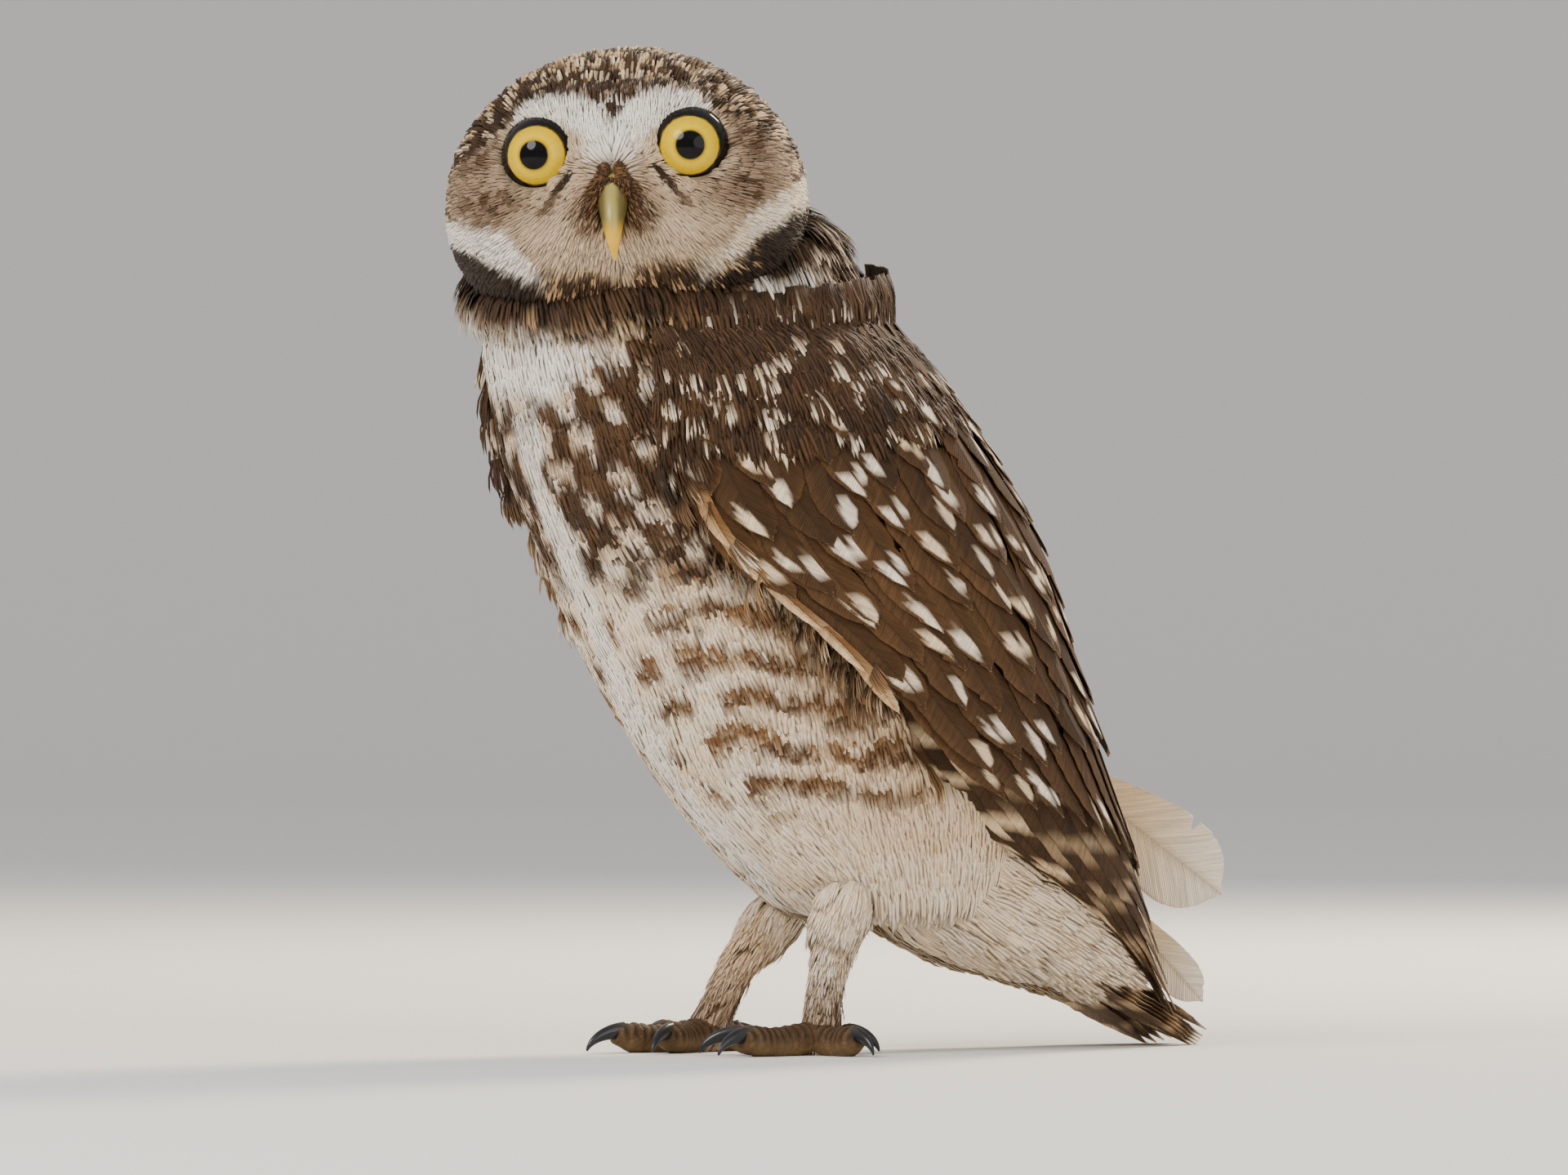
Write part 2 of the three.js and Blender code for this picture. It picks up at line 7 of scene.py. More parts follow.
import bpy
import numpy as np
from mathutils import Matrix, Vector


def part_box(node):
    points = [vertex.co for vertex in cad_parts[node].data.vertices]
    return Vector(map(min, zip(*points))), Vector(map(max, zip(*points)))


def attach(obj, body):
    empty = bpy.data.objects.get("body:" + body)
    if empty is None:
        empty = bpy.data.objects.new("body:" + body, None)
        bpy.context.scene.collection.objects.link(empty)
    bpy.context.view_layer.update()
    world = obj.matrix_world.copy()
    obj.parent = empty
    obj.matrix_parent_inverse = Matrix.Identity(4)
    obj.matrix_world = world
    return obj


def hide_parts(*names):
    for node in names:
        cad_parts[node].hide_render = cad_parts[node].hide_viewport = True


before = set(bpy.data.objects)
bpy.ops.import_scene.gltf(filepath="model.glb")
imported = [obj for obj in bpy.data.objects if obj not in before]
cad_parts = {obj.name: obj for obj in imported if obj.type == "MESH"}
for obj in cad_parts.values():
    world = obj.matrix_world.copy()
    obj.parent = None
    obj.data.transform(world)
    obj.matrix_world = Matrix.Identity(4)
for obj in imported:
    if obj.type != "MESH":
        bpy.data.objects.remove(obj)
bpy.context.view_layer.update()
QUICK_SHARE = 1.0
rng = np.random.default_rng(7)

# Driving dimensions of the form, in millimetres and degrees.
HEAD_AT = np.array([7.7, -35.5, 170.2])
HEAD_TURN = 50.5
HEAD_ROLL = 3.6
HEAD_HALF_WIDTH = 36.1
CROWN = 31.6
CHIN = 22.0
FACE = 30.0
NAPE = 32.0
FACE_SQUARE = 2.5
JAW_SQUARE = 2.4
EYE_Z = 10.5
EYE_X = 14.4
EYE_RADIUS = 8.5
EYE_OPENING = 6.5
EYE_OUT = 8.0
EYE_FRONT = 24.5
PUPIL = 2.72
SOLE = 2.7
LEG_X = 16.0
SHANK_END = 7
SCUTE = 1.9
CLAW_SWEEP = 80
WING_TOP, WING_TIP, BACK_TOP, MID_BACK = 138.0, 5.0, 146.0, 174.0
PRIMARY_LAYER = 0.72
TAIL_ROOT = np.array([0.0, 46.0, 35.8])
TAIL_LENGTH, TAIL_FALL, TAIL_TURN, TAIL_PAIRS, TAIL_LAYER = 73.0, 26.0, 1.0, 6, 0.96
COAT = 2.4  # depth of the body feathers over the skin
FACE_COAT = 1.5
FLUFF = 1.6  # and of the soft feathers round the tail's root
FLOOR_GAP = 0.03  # what hangs low lies along the floor, this far above it
SKIN_VOXEL = 1.4
SKIN_PAINTED_SHADE = 0.62  # how bright the skin is painted beside the feathers over it: painted shade under them
SHOULDER_TUFTS, BRISTLES, EYE_LINES, SHANK_TUFTS, TROUSER_TUFTS = 620, 800, 90, 740, 700
CAMERA_TURN = np.radians(55.0)
CAMERA_AWAY = 3.0  # in metres, as the next is
VIEW_WIDE = 0.3163

# Height of a section, where its front and back are along Y, and its half width.
FIGURE = np.array([
    [3, 98, 113, 13], [8, 86, 110.5, 15.5], [16, 62, 105, 22], [30, 24, 98, 30], [45, -10, 91, 35.5],
    [64, -26, 81, 41.5], [81, -37.5, 72.5, 44.5], [101, -47.5, 64, 46], [119, -56.5, 52, 46],
    [133, -59, 40, 44], [148, -60, 27, 38],
])
BODY = np.array([
    [28, 20, 48, 11], [31, 7, 57, 19], [38, -3, 62, 23.5], [50, -15, 66, 28], [64, -26, 66, 32],
    [81, -36.5, 62, 36], [101, -46, 56, 38.5], [119, -54, 46, 39], [133, -57.5, 35, 38],
    [148, -60.5, 26, 37], [155, -62.5, 22, 36.5], [163, -58, 15, 34.5], [170, -50, 8, 30],
    [178, -45, -9, 19],
])
# Height, and how many degrees round from the breast's middle the folded wing begins.
LEADING_EDGE = np.array([[3, 90.0], [30, 89], [45, 84], [64, 73], [81, 64], [101, 47], [120, 45], [140, 52]])
LEGS = {
    "left": {"side": 1, "shin": [[12, 20, 42], [15.5, 11, 27]], "foot": [LEG_X, 4.5], "turn": -6},
    "right": {"side": -1, "shin": [[-12, 27, 42], [-15.5, 16.5, 27]], "foot": [-LEG_X, -1], "turn": 8},
}
# Each toe's name, aim, length and half width, and the length of its claw.
TOES = [
    ("inner", -22, 17, 3.3, 10.5),
    ("middle", 14, 20, 3.3, 10.5),
    ("outer", 96, 15, 3.1, 9),
    ("hind", 188, 10.5, 3.1, 9.5),
]
# Rows, spacing, number of pieces, blades to a tuft, length, half width, thickness and looseness.
HEAD_REGIONS = {
    "face": (76, 1.6, 4, 7, 6.6, 1.25, 0.045, 0.05),
    "crown": (44, 2.5, 2, 9, 8.2, 1.9, 0.09, 0.06),
}
BODY_ROWS = [(30, 167, 46, 3.0), (169, 181, 8, 2.6)]  # first and last height, rows and spacing
# Rows of coverts and scapulars: count, root and tip down the wing, front and back, half width and level.
COVERT_ROWS = [
    (12, -0.06, 0.08, 0.03, 0.98, 4.6, 0.1),
    (12, -0.01, 0.14, 0.05, 0.97, 4.7, 0.0),
    (12, 0.04, 0.2, 0.03, 0.98, 4.8, -0.2),
    (11, 0.1, 0.265, 0.05, 0.97, 5.0, -0.35),
    (11, 0.16, 0.33, 0.03, 0.98, 5.0, -0.5),
    (11, 0.22, 0.395, 0.05, 0.97, 5.0, -0.7),
    (10, 0.28, 0.46, 0.05, 0.96, 5.0, -0.9),
    (10, 0.34, 0.525, 0.05, 0.97, 4.9, -1.15),
    (9, 0.41, 0.6, 0.1, 0.96, 4.8, -1.5),
]
PRIMARY_TIPS = [0.85, 0.9, 0.95, 0.985, 1.0, 0.99, 0.965, 0.93, 0.89, 0.86]
# How common a spot is and which side it takes, and the ranges of its place across and along, and its size.
SPOT_KINDS = [
    (0.86, 1, (0.2, 0.46), (0.76, 0.87), (0.3, 0.44), (0.08, 0.13)),
    (0.34, -1, (0.35, 0.55), (0.72, 0.85), (0.2, 0.3), (0.06, 0.09)),
]
# Middle, half width and half height along a limb in the tail's frame, or along the bill in the head's.
TAIL_COVERTS = [([0, -14, -4], 17, 12), ([0, 8, -4.5], 17, 9), ([0, 26, -3.5], 13, 5), ([0, 42, -3], 9, 2.6)]
RUMP = [([0, -16, 8], 19, 17), ([0, 8, 7], 18, 14), ([0, 30, 4], 14, 8), ([0, 46, 1], 9, 3.5)]
UPPER_BILL = [
    ([0, -22, EYE_Z - 7], 4.2, 3.8),
    ([0, -30, EYE_Z - 9], 4.0, 3.9),
    ([0, -34.9, EYE_Z - 12.8], 3.2, 3.1),
    ([0, -36.6, EYE_Z - 17.6], 1.9, 2.0),
    ([0, -35.6, EYE_Z - 22], 0.35, 0.4),
]
LOWER_BILL = [
    ([0, -22, EYE_Z - 13.3], 3.4, 2.0),
    ([0, -30, EYE_Z - 15], 2.6, 1.7),
    ([0, -33.4, EYE_Z - 17.2], 0.8, 0.7),
]
# Root, tip, half width and how far the vane lies to one side of the line between them.
STRAYS = [([-4, 88, 52], [2, 116.5, 31], 10.5, 0.0), ([-5, 97, 27], [1, 112.5, 9], 5.0, 0.0)]


def lerp(a, b, t):
    return a + (b - a) * t


def ramp(x, low, high):
    t = np.clip((x - low) / (high - low), 0, 1)
    return t * t * (3 - 2 * t)


def bell(x, wide):
    return np.exp(-((x / wide) ** 2))


def bump(dx, dz, wide, high):
    return np.exp(-((dx / wide) ** 2) - (dz / high) ** 2)


def unit(v):
    return v / np.maximum(np.linalg.norm(v, axis=-1, keepdims=True), 1e-9)


def stack(*columns):
    return np.stack(np.broadcast_arrays(*columns), axis=-1)


def dot(a, b):
    return (a * b).sum(-1, keepdims=True)


def tangent(direction, normal):
    return unit(direction - normal * dot(direction, normal))


def turning(degrees):
    a = np.radians(degrees)
    return np.array([[np.cos(a), -np.sin(a), 0], [np.sin(a), np.cos(a), 0], [0, 0, 1]])


def circle(count):
    return np.linspace(0, 2 * np.pi, count, endpoint=False)


def grid(down, across):
    return np.meshgrid(down, across, indexing="ij")


def chances(count):
    return rng.uniform(0, 1, count)


def ripple(p, scale, seed=0.0):
    """A smooth wandering value from -1 to 1 through space."""
    x, y, z = np.moveaxis(p / scale, -1, 0)
    a = np.sin(x * 1.7 + seed + np.sin(y * 1.3 + z)) * np.sin(z * 1.9 - seed * 2 + np.sin(x * 0.9 - y))
    b = np.sin(y * 2.3 + seed * 3 + np.sin(z * 1.6)) * np.sin(x * 1.1 + y * 0.7 + z * 1.2 + seed)
    return (a + b) / 1.6


def along(table, x):
    """The columns of a table at each x, on a smooth curve through its rows."""
    keys = table[:, 0]
    x = np.clip(x, keys[0], keys[-1])
    i = np.clip(np.searchsorted(keys, x, side="right") - 1, 0, len(keys) - 2)
    before = np.maximum(np.arange(len(keys)) - 1, 0)
    after = np.minimum(np.arange(len(keys)) + 1, len(keys) - 1)
    slopes = (table[after, 1:] - table[before, 1:]) / (keys[after] - keys[before])[:, None]
    span = keys[i + 1] - keys[i]
    t = (x - keys[i]) / span
    rise = (t * t * (3 - 2 * t))[..., None]
    leave = (t * (1 - t) ** 2 * span)[..., None] * slopes[i]
    arrive = (t * t * (t - 1) * span)[..., None] * slopes[i + 1]
    return lerp(table[i, 1:], table[i + 1, 1:], rise) + leave + arrive


# Forms


def on_form(table, z, degrees, grow=0.0):
    front, back, half = np.moveaxis(along(table, z), -1, 0)
    a = np.radians(degrees)
    depth = (back - front) / 2
    return stack((half + grow) * np.sin(a), (front + back) / 2 - (depth + grow) * np.cos(a), z)


def on_body(z, degrees):
    return on_form(BODY, z, degrees)


def body_normal(z, degrees):
    up = on_body(z + 0.5, degrees) - on_body(z - 0.5, degrees)
    around = on_body(z, degrees + 1) - on_body(z, degrees - 1)
    return unit(np.cross(around, up))


def face_relief(x, z):
    side = np.abs(x)
    brow = 2.4 * bump(side - 11, z - EYE_Z - 9.5, 9, 3.5)
    bridge = 1.6 * bump(side, z - EYE_Z, 5, 10)
    dish = -3.2 * bump(side - EYE_X - 1, z - EYE_Z + 1, 9.5, 9)
    cheek = 1.8 * bump(side - 19, z + 8, 12, 8)
    muzzle = 3.0 * bump(side, z - EYE_Z + 14, 8.5, 9)
    return brow + bridge + dish + cheek + muzzle


def head_local(t, degrees, grow=0.0):
    """A point of the head in its own frame, t from 0 at the crown to 1 at the chin."""
    fall = np.pi * t
    across, lift = np.sin(fall), np.cos(fall)
    a = np.radians(degrees)
    bend = np.where(lift > 0, 2.0, JAW_SQUARE)
    spread = (1 - np.minimum(np.abs(lift) ** bend, 1)) ** (1 / bend)
    z = lift * np.where(lift > 0, CROWN, CHIN)
    sx, sy = np.sin(a), -np.cos(a)
    square = np.where(sy < 0, FACE_SQUARE, 2.0)
    reach = (np.abs(sx) ** square + np.abs(sy) ** square) ** (-1 / square)
    x = HEAD_HALF_WIDTH * spread * reach * sx
    y = np.where(sy < 0, FACE, NAPE) * spread * reach * sy
    facing = np.clip(-sy * 1.6 - 0.2, 0, 1) * across
    plain = stack(x, y, z)
    return stack(x, y - face_relief(x, z) * facing, z) + unit(plain) * np.asarray(grow)[..., None]


def head_normal(t, degrees):
    down = head_local(t + 0.004, degrees) - head_local(t - 0.004, degrees)
    around = head_local(t, degrees + 1) - head_local(t, degrees - 1)
    return unit(np.cross(around, -down))


ROLL = np.radians(-HEAD_ROLL)
HEAD_MATRIX = turning(HEAD_TURN) @ np.array(
    [[np.cos(ROLL), 0, np.sin(ROLL)], [0, 1, 0], [-np.sin(ROLL), 0, np.cos(ROLL)]]
)


def aimed(directions):
    """Directions of the head's frame in the owl's."""
    return directions @ HEAD_MATRIX.T


def from_head(points):
    return points @ HEAD_MATRIX.T + HEAD_AT


def to_head(points):
    return (points - HEAD_AT) @ HEAD_MATRIX


def inside_head(points, margin):
    p = to_head(points)
    z = p[:, 2]
    bend = np.where(z > 0, 2.0, JAW_SQUARE)
    level = np.minimum(np.abs(z) / np.where(z > 0, CROWN, CHIN), 1) ** bend
    spread = np.maximum(1 - level, 0) ** (1 / bend)
    depth = np.where(p[:, 1] < 0, FACE, NAPE)
    square = np.where(p[:, 1] < 0, FACE_SQUARE, 2.0)
    reach = (np.abs(p[:, 0]) / HEAD_HALF_WIDTH) ** square + (np.abs(p[:, 1]) / depth) ** square
    return reach ** (1 / square) < spread - margin


def inside_body(points, margin):
    front, back, half = np.moveaxis(along(BODY, points[:, 2]), -1, 0)
    depth = (back - front) / 2
    r = np.hypot(points[:, 0] / half, (points[:, 1] - (front + back) / 2) / depth)
    return (r < 1 - margin) & (points[:, 2] > BODY[0, 0]) & (points[:, 2] < BODY[-1, 0])


LID_DEPTH = np.sqrt(EYE_RADIUS**2 - EYE_OPENING**2)


def eye_middle(side):
    return np.array([side * EYE_X, -(EYE_FRONT - LID_DEPTH), EYE_Z])


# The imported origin, read off the left eye, whose place in both frames is known.
low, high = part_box("eye_left")
ORIGIN = from_head(eye_middle(1)) - (np.array(low) + np.array(high)) * 500.0


def place(points):
    return (np.asarray(points) - ORIGIN) / 1000.0


# Colours and materials


def colour(r, g, b):
    """A colour given as it looks on a screen, 0 to 255, as light."""
    c = np.array([r, g, b]) / 255.0
    return np.where(c <= 0.04045, c / 12.92, ((c + 0.055) / 1.055) ** 2.4)


WHITE = colour(240, 233, 222)
CREAM = colour(234, 210, 174)
BUFF = colour(208, 170, 124)
GREY_BUFF = colour(176, 150, 124)
RUFOUS = colour(136, 97, 58)
BROWN = colour(84, 59, 36)
DARK = colour(50, 35, 22)
BLACK = colour(24, 18, 14)
PUPIL_BLACK = colour(7, 7, 8)


def mix(a, b, t):
    t = np.clip(t, 0, 1)[..., None]
    return a * (1 - t) + b * t


def new_material(name, roughness, specular):
    mat = bpy.data.materials.new(name)
    mat.use_nodes = True
    bsdf = mat.node_tree.nodes["Principled BSDF"]
    bsdf.inputs["Roughness"].default_value = roughness
    bsdf.inputs["Specular IOR Level"].default_value = specular
    return mat, mat.node_tree, bsdf


def add_node(tree, kind, result, inputs, operation=None):
    """One output of a new node. Each input is a number, or another node's output that is linked to it."""
    node = tree.nodes.new("ShaderNode" + kind)
    if operation:
        node.operation = operation
    for key, value in inputs.items():
        if isinstance(value, bpy.types.NodeSocket):
            tree.links.new(value, node.inputs[key])
        else:
            node.inputs[key].default_value = value
    return node.outputs[result]


def attribute(tree, name, result):
    node = tree.nodes.new("ShaderNodeAttribute")
    node.attribute_name = name
    return node.outputs[result]


def noise(tree, vector, scale, detail=3.0):
    return add_node(tree, "TexNoise", "Fac", {"Vector": vector, "Scale": scale, "Detail": detail})


def link_colour(tree, bsdf, value, low, high):
    """The marks on the piece as the colour, varied in brightness from low to high by a value."""
    vary = add_node(tree, "MapRange", "Result", {"Value": value, "To Min": low, "To Max": high})
    marks = attribute(tree, "marks", "Color")
    shaded = add_node(tree, "VectorMath", "Vector", {0: marks, "Scale": vary}, "SCALE")
    tree.links.new(shaded, bsdf.inputs["Base Color"])


def link_bump(tree, bsdf, height, strength, distance):
    values = {"Height": height, "Strength": strength, "Distance": distance}
    tree.links.new(add_node(tree, "Bump", "Normal", values), bsdf.inputs["Normal"])


def marked(name, roughness, specular, scale, low, high, bump_scale=0.0, bump_height=0.0, strength=0.5):
    """A material that takes its colour from the marks on the piece, with fine noise and a fine bump."""
    mat, tree, bsdf = new_material(name, roughness, specular)
    where = tree.nodes.new("ShaderNodeTexCoord").outputs["Object"]
    link_colour(tree, bsdf, noise(tree, where, scale), low, high)
    if bump_scale:
        link_bump(tree, bsdf, noise(tree, where, bump_scale, 4.0), strength, bump_height)
    return mat


def barbed():
    """The material of feathers with barbs. Each vane's barb attribute says how far along its barbs' rows a
    point is, how far out from the shaft, and which feather it is on."""
    mat, tree, bsdf = new_material("barbed", 0.7, 0.16)
    barb = attribute(tree, "barb", "Vector")
    link_colour(tree, bsdf, noise(tree, barb, 0.7), 0.4, 1.6)
    row = add_node(tree, "SeparateXYZ", "X", {"Vector": barb})
    turns = add_node(tree, "Math", "Value", {0: row, 1: 2 * np.pi}, "MULTIPLY")
    link_bump(tree, bsdf, add_node(tree, "Math", "Value", {0: turns}, "SINE"), 0.6, 0.00012)
    return mat


PLUME = marked("plume", 0.72, 0.25, 900, 0.78, 1.22)
SKIN = marked("skin", 0.85, 0.15, 700, 0.7, 1.2, 1500, 0.0004)
HORN = marked("horn", 0.32, 0.45, 400, 0.85, 1.12, 900, 0.00008, 0.3)
CLAW = marked("claw", 0.28, 0.5, 500, 0.8, 1.25, 1200, 0.00006, 0.3)
SCALE = marked("scale", 0.7, 0.2, 500, 0.55, 1.35, 900, 0.0006, 1.0)
EYE = marked("eye", 0.07, 0.18, 2500, 0.93, 1.07)
BARBED = barbed()


# Meshes


def add_object(name, data):
    made = bpy.data.objects.new(name, data)
    bpy.context.scene.collection.objects.link(made)
    return made


def set_marks(mesh, marks):
    """A colour for each point, or one for all of them."""
    rgba = np.ones((len(mesh.vertices), 4), np.float32)
    rgba[:, :3] = np.clip(marks, 0, 1).reshape(-1, 3)
    mesh.color_attributes.new("marks", "FLOAT_COLOR", "POINT").data.foreach_set("color", rgba.ravel())


def set_map(mesh, corners):
    layer = mesh.uv_layers.new(name="OFBake")
    layer.data.foreach_set("uv", corners.astype(np.float32).ravel())


def set_smooth(mesh):
    mesh.polygons.foreach_set("use_smooth", np.ones(len(mesh.polygons), bool))


def piece(name, points, faces, material, marks=None, uv=None, barb=None):
    """A mesh from millimetre points and an array of triangles or quads, riding on the owl."""
    corners = faces.shape[-1]
    faces = np.asarray(faces, np.int32).reshape(-1, corners)
    points = np.array(points, float).reshape(-1, 3)
    points[:, 2] = np.maximum(points[:, 2], FLOOR_GAP)
    mesh = bpy.data.meshes.new(name)
    mesh.vertices.add(len(points))
    mesh.vertices.foreach_set("co", place(points).astype(np.float32).ravel())
    mesh.loops.add(faces.size)
    mesh.loops.foreach_set("vertex_index", faces.ravel())
    mesh.polygons.add(len(faces))
    mesh.polygons.foreach_set("loop_start", np.arange(len(faces), dtype=np.int32) * corners)
    mesh.polygons.foreach_set("loop_total", np.full(len(faces), corners, np.int32))
    set_smooth(mesh)
    mesh.update(calc_edges=True)
    if marks is not None:
        set_marks(mesh, marks)
    if barb is not None:
        layer = mesh.attributes.new("barb", "FLOAT_VECTOR", "POINT")
        layer.data.foreach_set("vector", np.asarray(barb, np.float32).ravel())
    if uv is not None:
        set_map(mesh, np.clip(uv, 0, 1).reshape(-1, 2)[faces.ravel()])
    mesh.materials.append(material)
    made = add_object(name, mesh)
    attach(made, "root")
    return made


def grid_faces(rows, columns, wrap=False):
    """Quads of a grid of rows by columns of points; wrap joins the last column to the first."""
    r = np.arange(rows - 1)[:, None] * columns
    c = np.arange(columns if wrap else columns - 1)[None, :]
    nxt = (c + 1) % columns
    return stack(r + c, r + nxt, r + columns + nxt, r + columns + c).reshape(-1, 4)


def closed_grid(points):
    """A closed surface from rows of points round a form, its ends drawn to their middles."""
    rows, columns = points.shape[:2]
    quads = grid_faces(rows, columns, wrap=True)
    c = np.arange(columns)
    nxt = (c + 1) % columns
    cap = np.full(columns, rows * columns)
    last = (rows - 1) * columns
    ends = [np.stack([nxt, c, cap], 1), np.stack([last + c, last + nxt, cap + 1], 1)]
    faces = np.concatenate([quads[:, [0, 1, 2]], quads[:, [0, 2, 3]], *ends])
    return np.concatenate([points.reshape(-1, 3), [points[0].mean(0)], [points[-1].mean(0)]]), faces


def limb(stations, rows=24, columns=24, across=(1, 0, 0), grow=0.0):
    """A limb's grid of points through stations of middle, half width and half height, and its stations."""
    keys = np.linspace(0, 1, len(stations))
    table = np.column_stack([keys, np.array([[*s[0], s[1], s[2]] for s in stations], float)])
    ease = 0.5 - 0.5 * np.cos(np.pi * np.linspace(0, 1, rows))
    at = along(table, ease)
    ahead = unit(np.gradient(at[:, :3], axis=0))
    side = np.array(across, float)
    side = unit(side - ahead * (ahead @ side)[:, None])
    top = np.cross(ahead, side)
    a = circle(columns)
    wide, high = at[:, 3] + grow, at[:, 4] + grow
    around = side[:, None] * np.cos(a)[None, :, None] * wide[:, None, None]
    around = around + top[:, None] * np.sin(a)[None, :, None] * high[:, None, None]
    return at[:, None, :3] + around, at


def limb_field(ring, at, r, c):
    """Root, normal, lie and map of the feathers at rows r and columns c of a limb's grid."""
    root = ring[r, c]
    normal = unit(root - at[r, :3])
    lie = tangent(unit(at[-1, :3] - at[0, :3]), normal)
    return root, normal, lie, np.stack([(c + 0.5) / ring.shape[1], (r + 0.5) / ring.shape[0]], 1)


# Tufts: fans of thin closed blades that grow from the skin and lie back over each other.

BLADE_AT = np.array([0.0, 0.5, 0.8])  # where a blade's rings are, before its point
BLADE_WIDE = np.array([0.7, 1.0, 0.86])
BLADE_PATCH = np.array([0.0014, 0.0028])  # its size in the bake's map


def blade_faces():
    sides = []
    for ring in range(2):
        for k in range(3):
            a, b = ring * 3 + k, ring * 3 + (k + 1) % 3
            sides += [[a, b, b + 3], [a, b + 3, a + 3]]
    return np.array(sides + [[6, 7, 9], [7, 8, 9], [8, 6, 9], [2, 1, 0]])


BLADE_FACES = blade_faces()


def make_tufts(name, root, normal, lie, length, half, blades, paint, uv, radius=40.0, rise=1.6, fan=0.5,
               fat=0.22, loose=0.08, tip_rise=0.0):
    """Tufts as one piece. root, normal and lie are arrays of points and directions, length and half their
    sizes. paint(u, v, tuft, point) gives the colour from root to tip, across, by tuft and by place."""
    count = len(root)
    length, half, radius = (np.broadcast_to(size, count)[:, None, None] for size in (length, half, radius))
    side = unit(np.cross(normal, lie))
    root, normal, lie, side = (directions[:, None, None] for directions in (root, normal, lie, side))
    v = np.linspace(-1, 1, blades)[:, None] + rng.normal(0, 0.35 / max(blades, 2), (count, blades, 1))
    reach = length * (1 - 0.22 * np.abs(v) ** 2.2) * rng.uniform(0.86, 1.06, (count, blades, 1))
    wide = half / blades * 1.5 * rng.uniform(0.8, 1.2, (count, blades, 1))
    stray = rng.normal(0, 1, (count, blades, 2)) * loose
    u = np.append(BLADE_AT, 1.0)
    ahead = reach * u
    out = half * v * (fan + (1 - fan) * np.sin(np.minimum(u * 1.25, 1) * np.pi / 2)) + stray[..., :1] * ahead
    lift = rise * 4 * u * (1 - u) * 0.6 + rise * 0.75 * u + tip_rise * u**3
    high = lift - ahead**2 / (2 * radius) * 0.9 - 0.12 * half * v**2 + np.abs(stray[..., 1:]) * ahead * 0.6
    line = root + lie * ahead[..., None] + side * out[..., None] + normal * high[..., None]
    ring = line[:, :, :3]
    w = (wide * BLADE_WIDE)[..., None]
    points = np.stack([ring - side * w, ring + side * w, ring + normal * (fat * (0.4 + w))], axis=3)
    points = np.concatenate([points.reshape(count, blades, 9, 3), line[:, :, 3:]], axis=2)
    u, v, which = np.broadcast_arrays(
        np.append(np.repeat(BLADE_AT, 3), 1.0), v, np.arange(count)[:, None, None]
    )
    patch = uv[:, None, None] + stack(v, u - 0.5) * BLADE_PATCH
    faces = BLADE_FACES + (np.arange(count * blades) * 10)[:, None, None]
    return piece(name, points, faces, PLUME, paint(u, v, which, points), patch)


def rows_on(form, first, last, rows, spacing):
    """Staggered, jittered rows over a form: for each row the parameter, and degrees spaced by arc length."""
    out = []
    rows, spacing = int(rows / QUICK_SHARE), spacing * QUICK_SHARE
    fine = np.linspace(-180.0, 180.0, 181)
    for i, t in enumerate(np.linspace(first, last, rows)):
        p = form(np.full(181, t), fine)
        arc = np.concatenate([[0], np.cumsum(np.linalg.norm(np.diff(p, axis=0), axis=1))])
        n = max(int(arc[-1] / spacing), 1)
        at = (np.arange(n) + 0.5 * (i % 2) + rng.uniform(-0.3, 0.3, n)) / n
        degrees = np.interp(np.clip(at, 0, 1) * arc[-1], arc, fine)
        step = (last - first) / (rows - 1)
        out.append(np.stack([t + rng.uniform(-0.35, 0.35, n) * step, degrees], 1))
    return np.concatenate(out)


def map_round(degrees, height):
    return 0.01 + 0.98 * np.stack([degrees / 360 + 0.5, height], 1)


# Markings


def bars(z, degrees, tall, wide, seed):
    """Rows of marks round the form: 0 to 1 across each row, and a value from -1 to 1 that breaks it up."""
    row = z / tall + 0.2 * np.sin(np.radians(degrees) * 5 + seed)
    level = np.floor(row)
    phase = row - level
    bar = ramp(phase, 0.06, 0.26) * ramp(-phase, -0.8, -0.6)
    turn = degrees / wide * 2 * np.pi
    gate = np.sin(turn + level * 2.4 + seed) + 0.55 * np.sin(turn * 0.6 + level * 5.1 + seed * 2)
    return bar, gate / 1.4


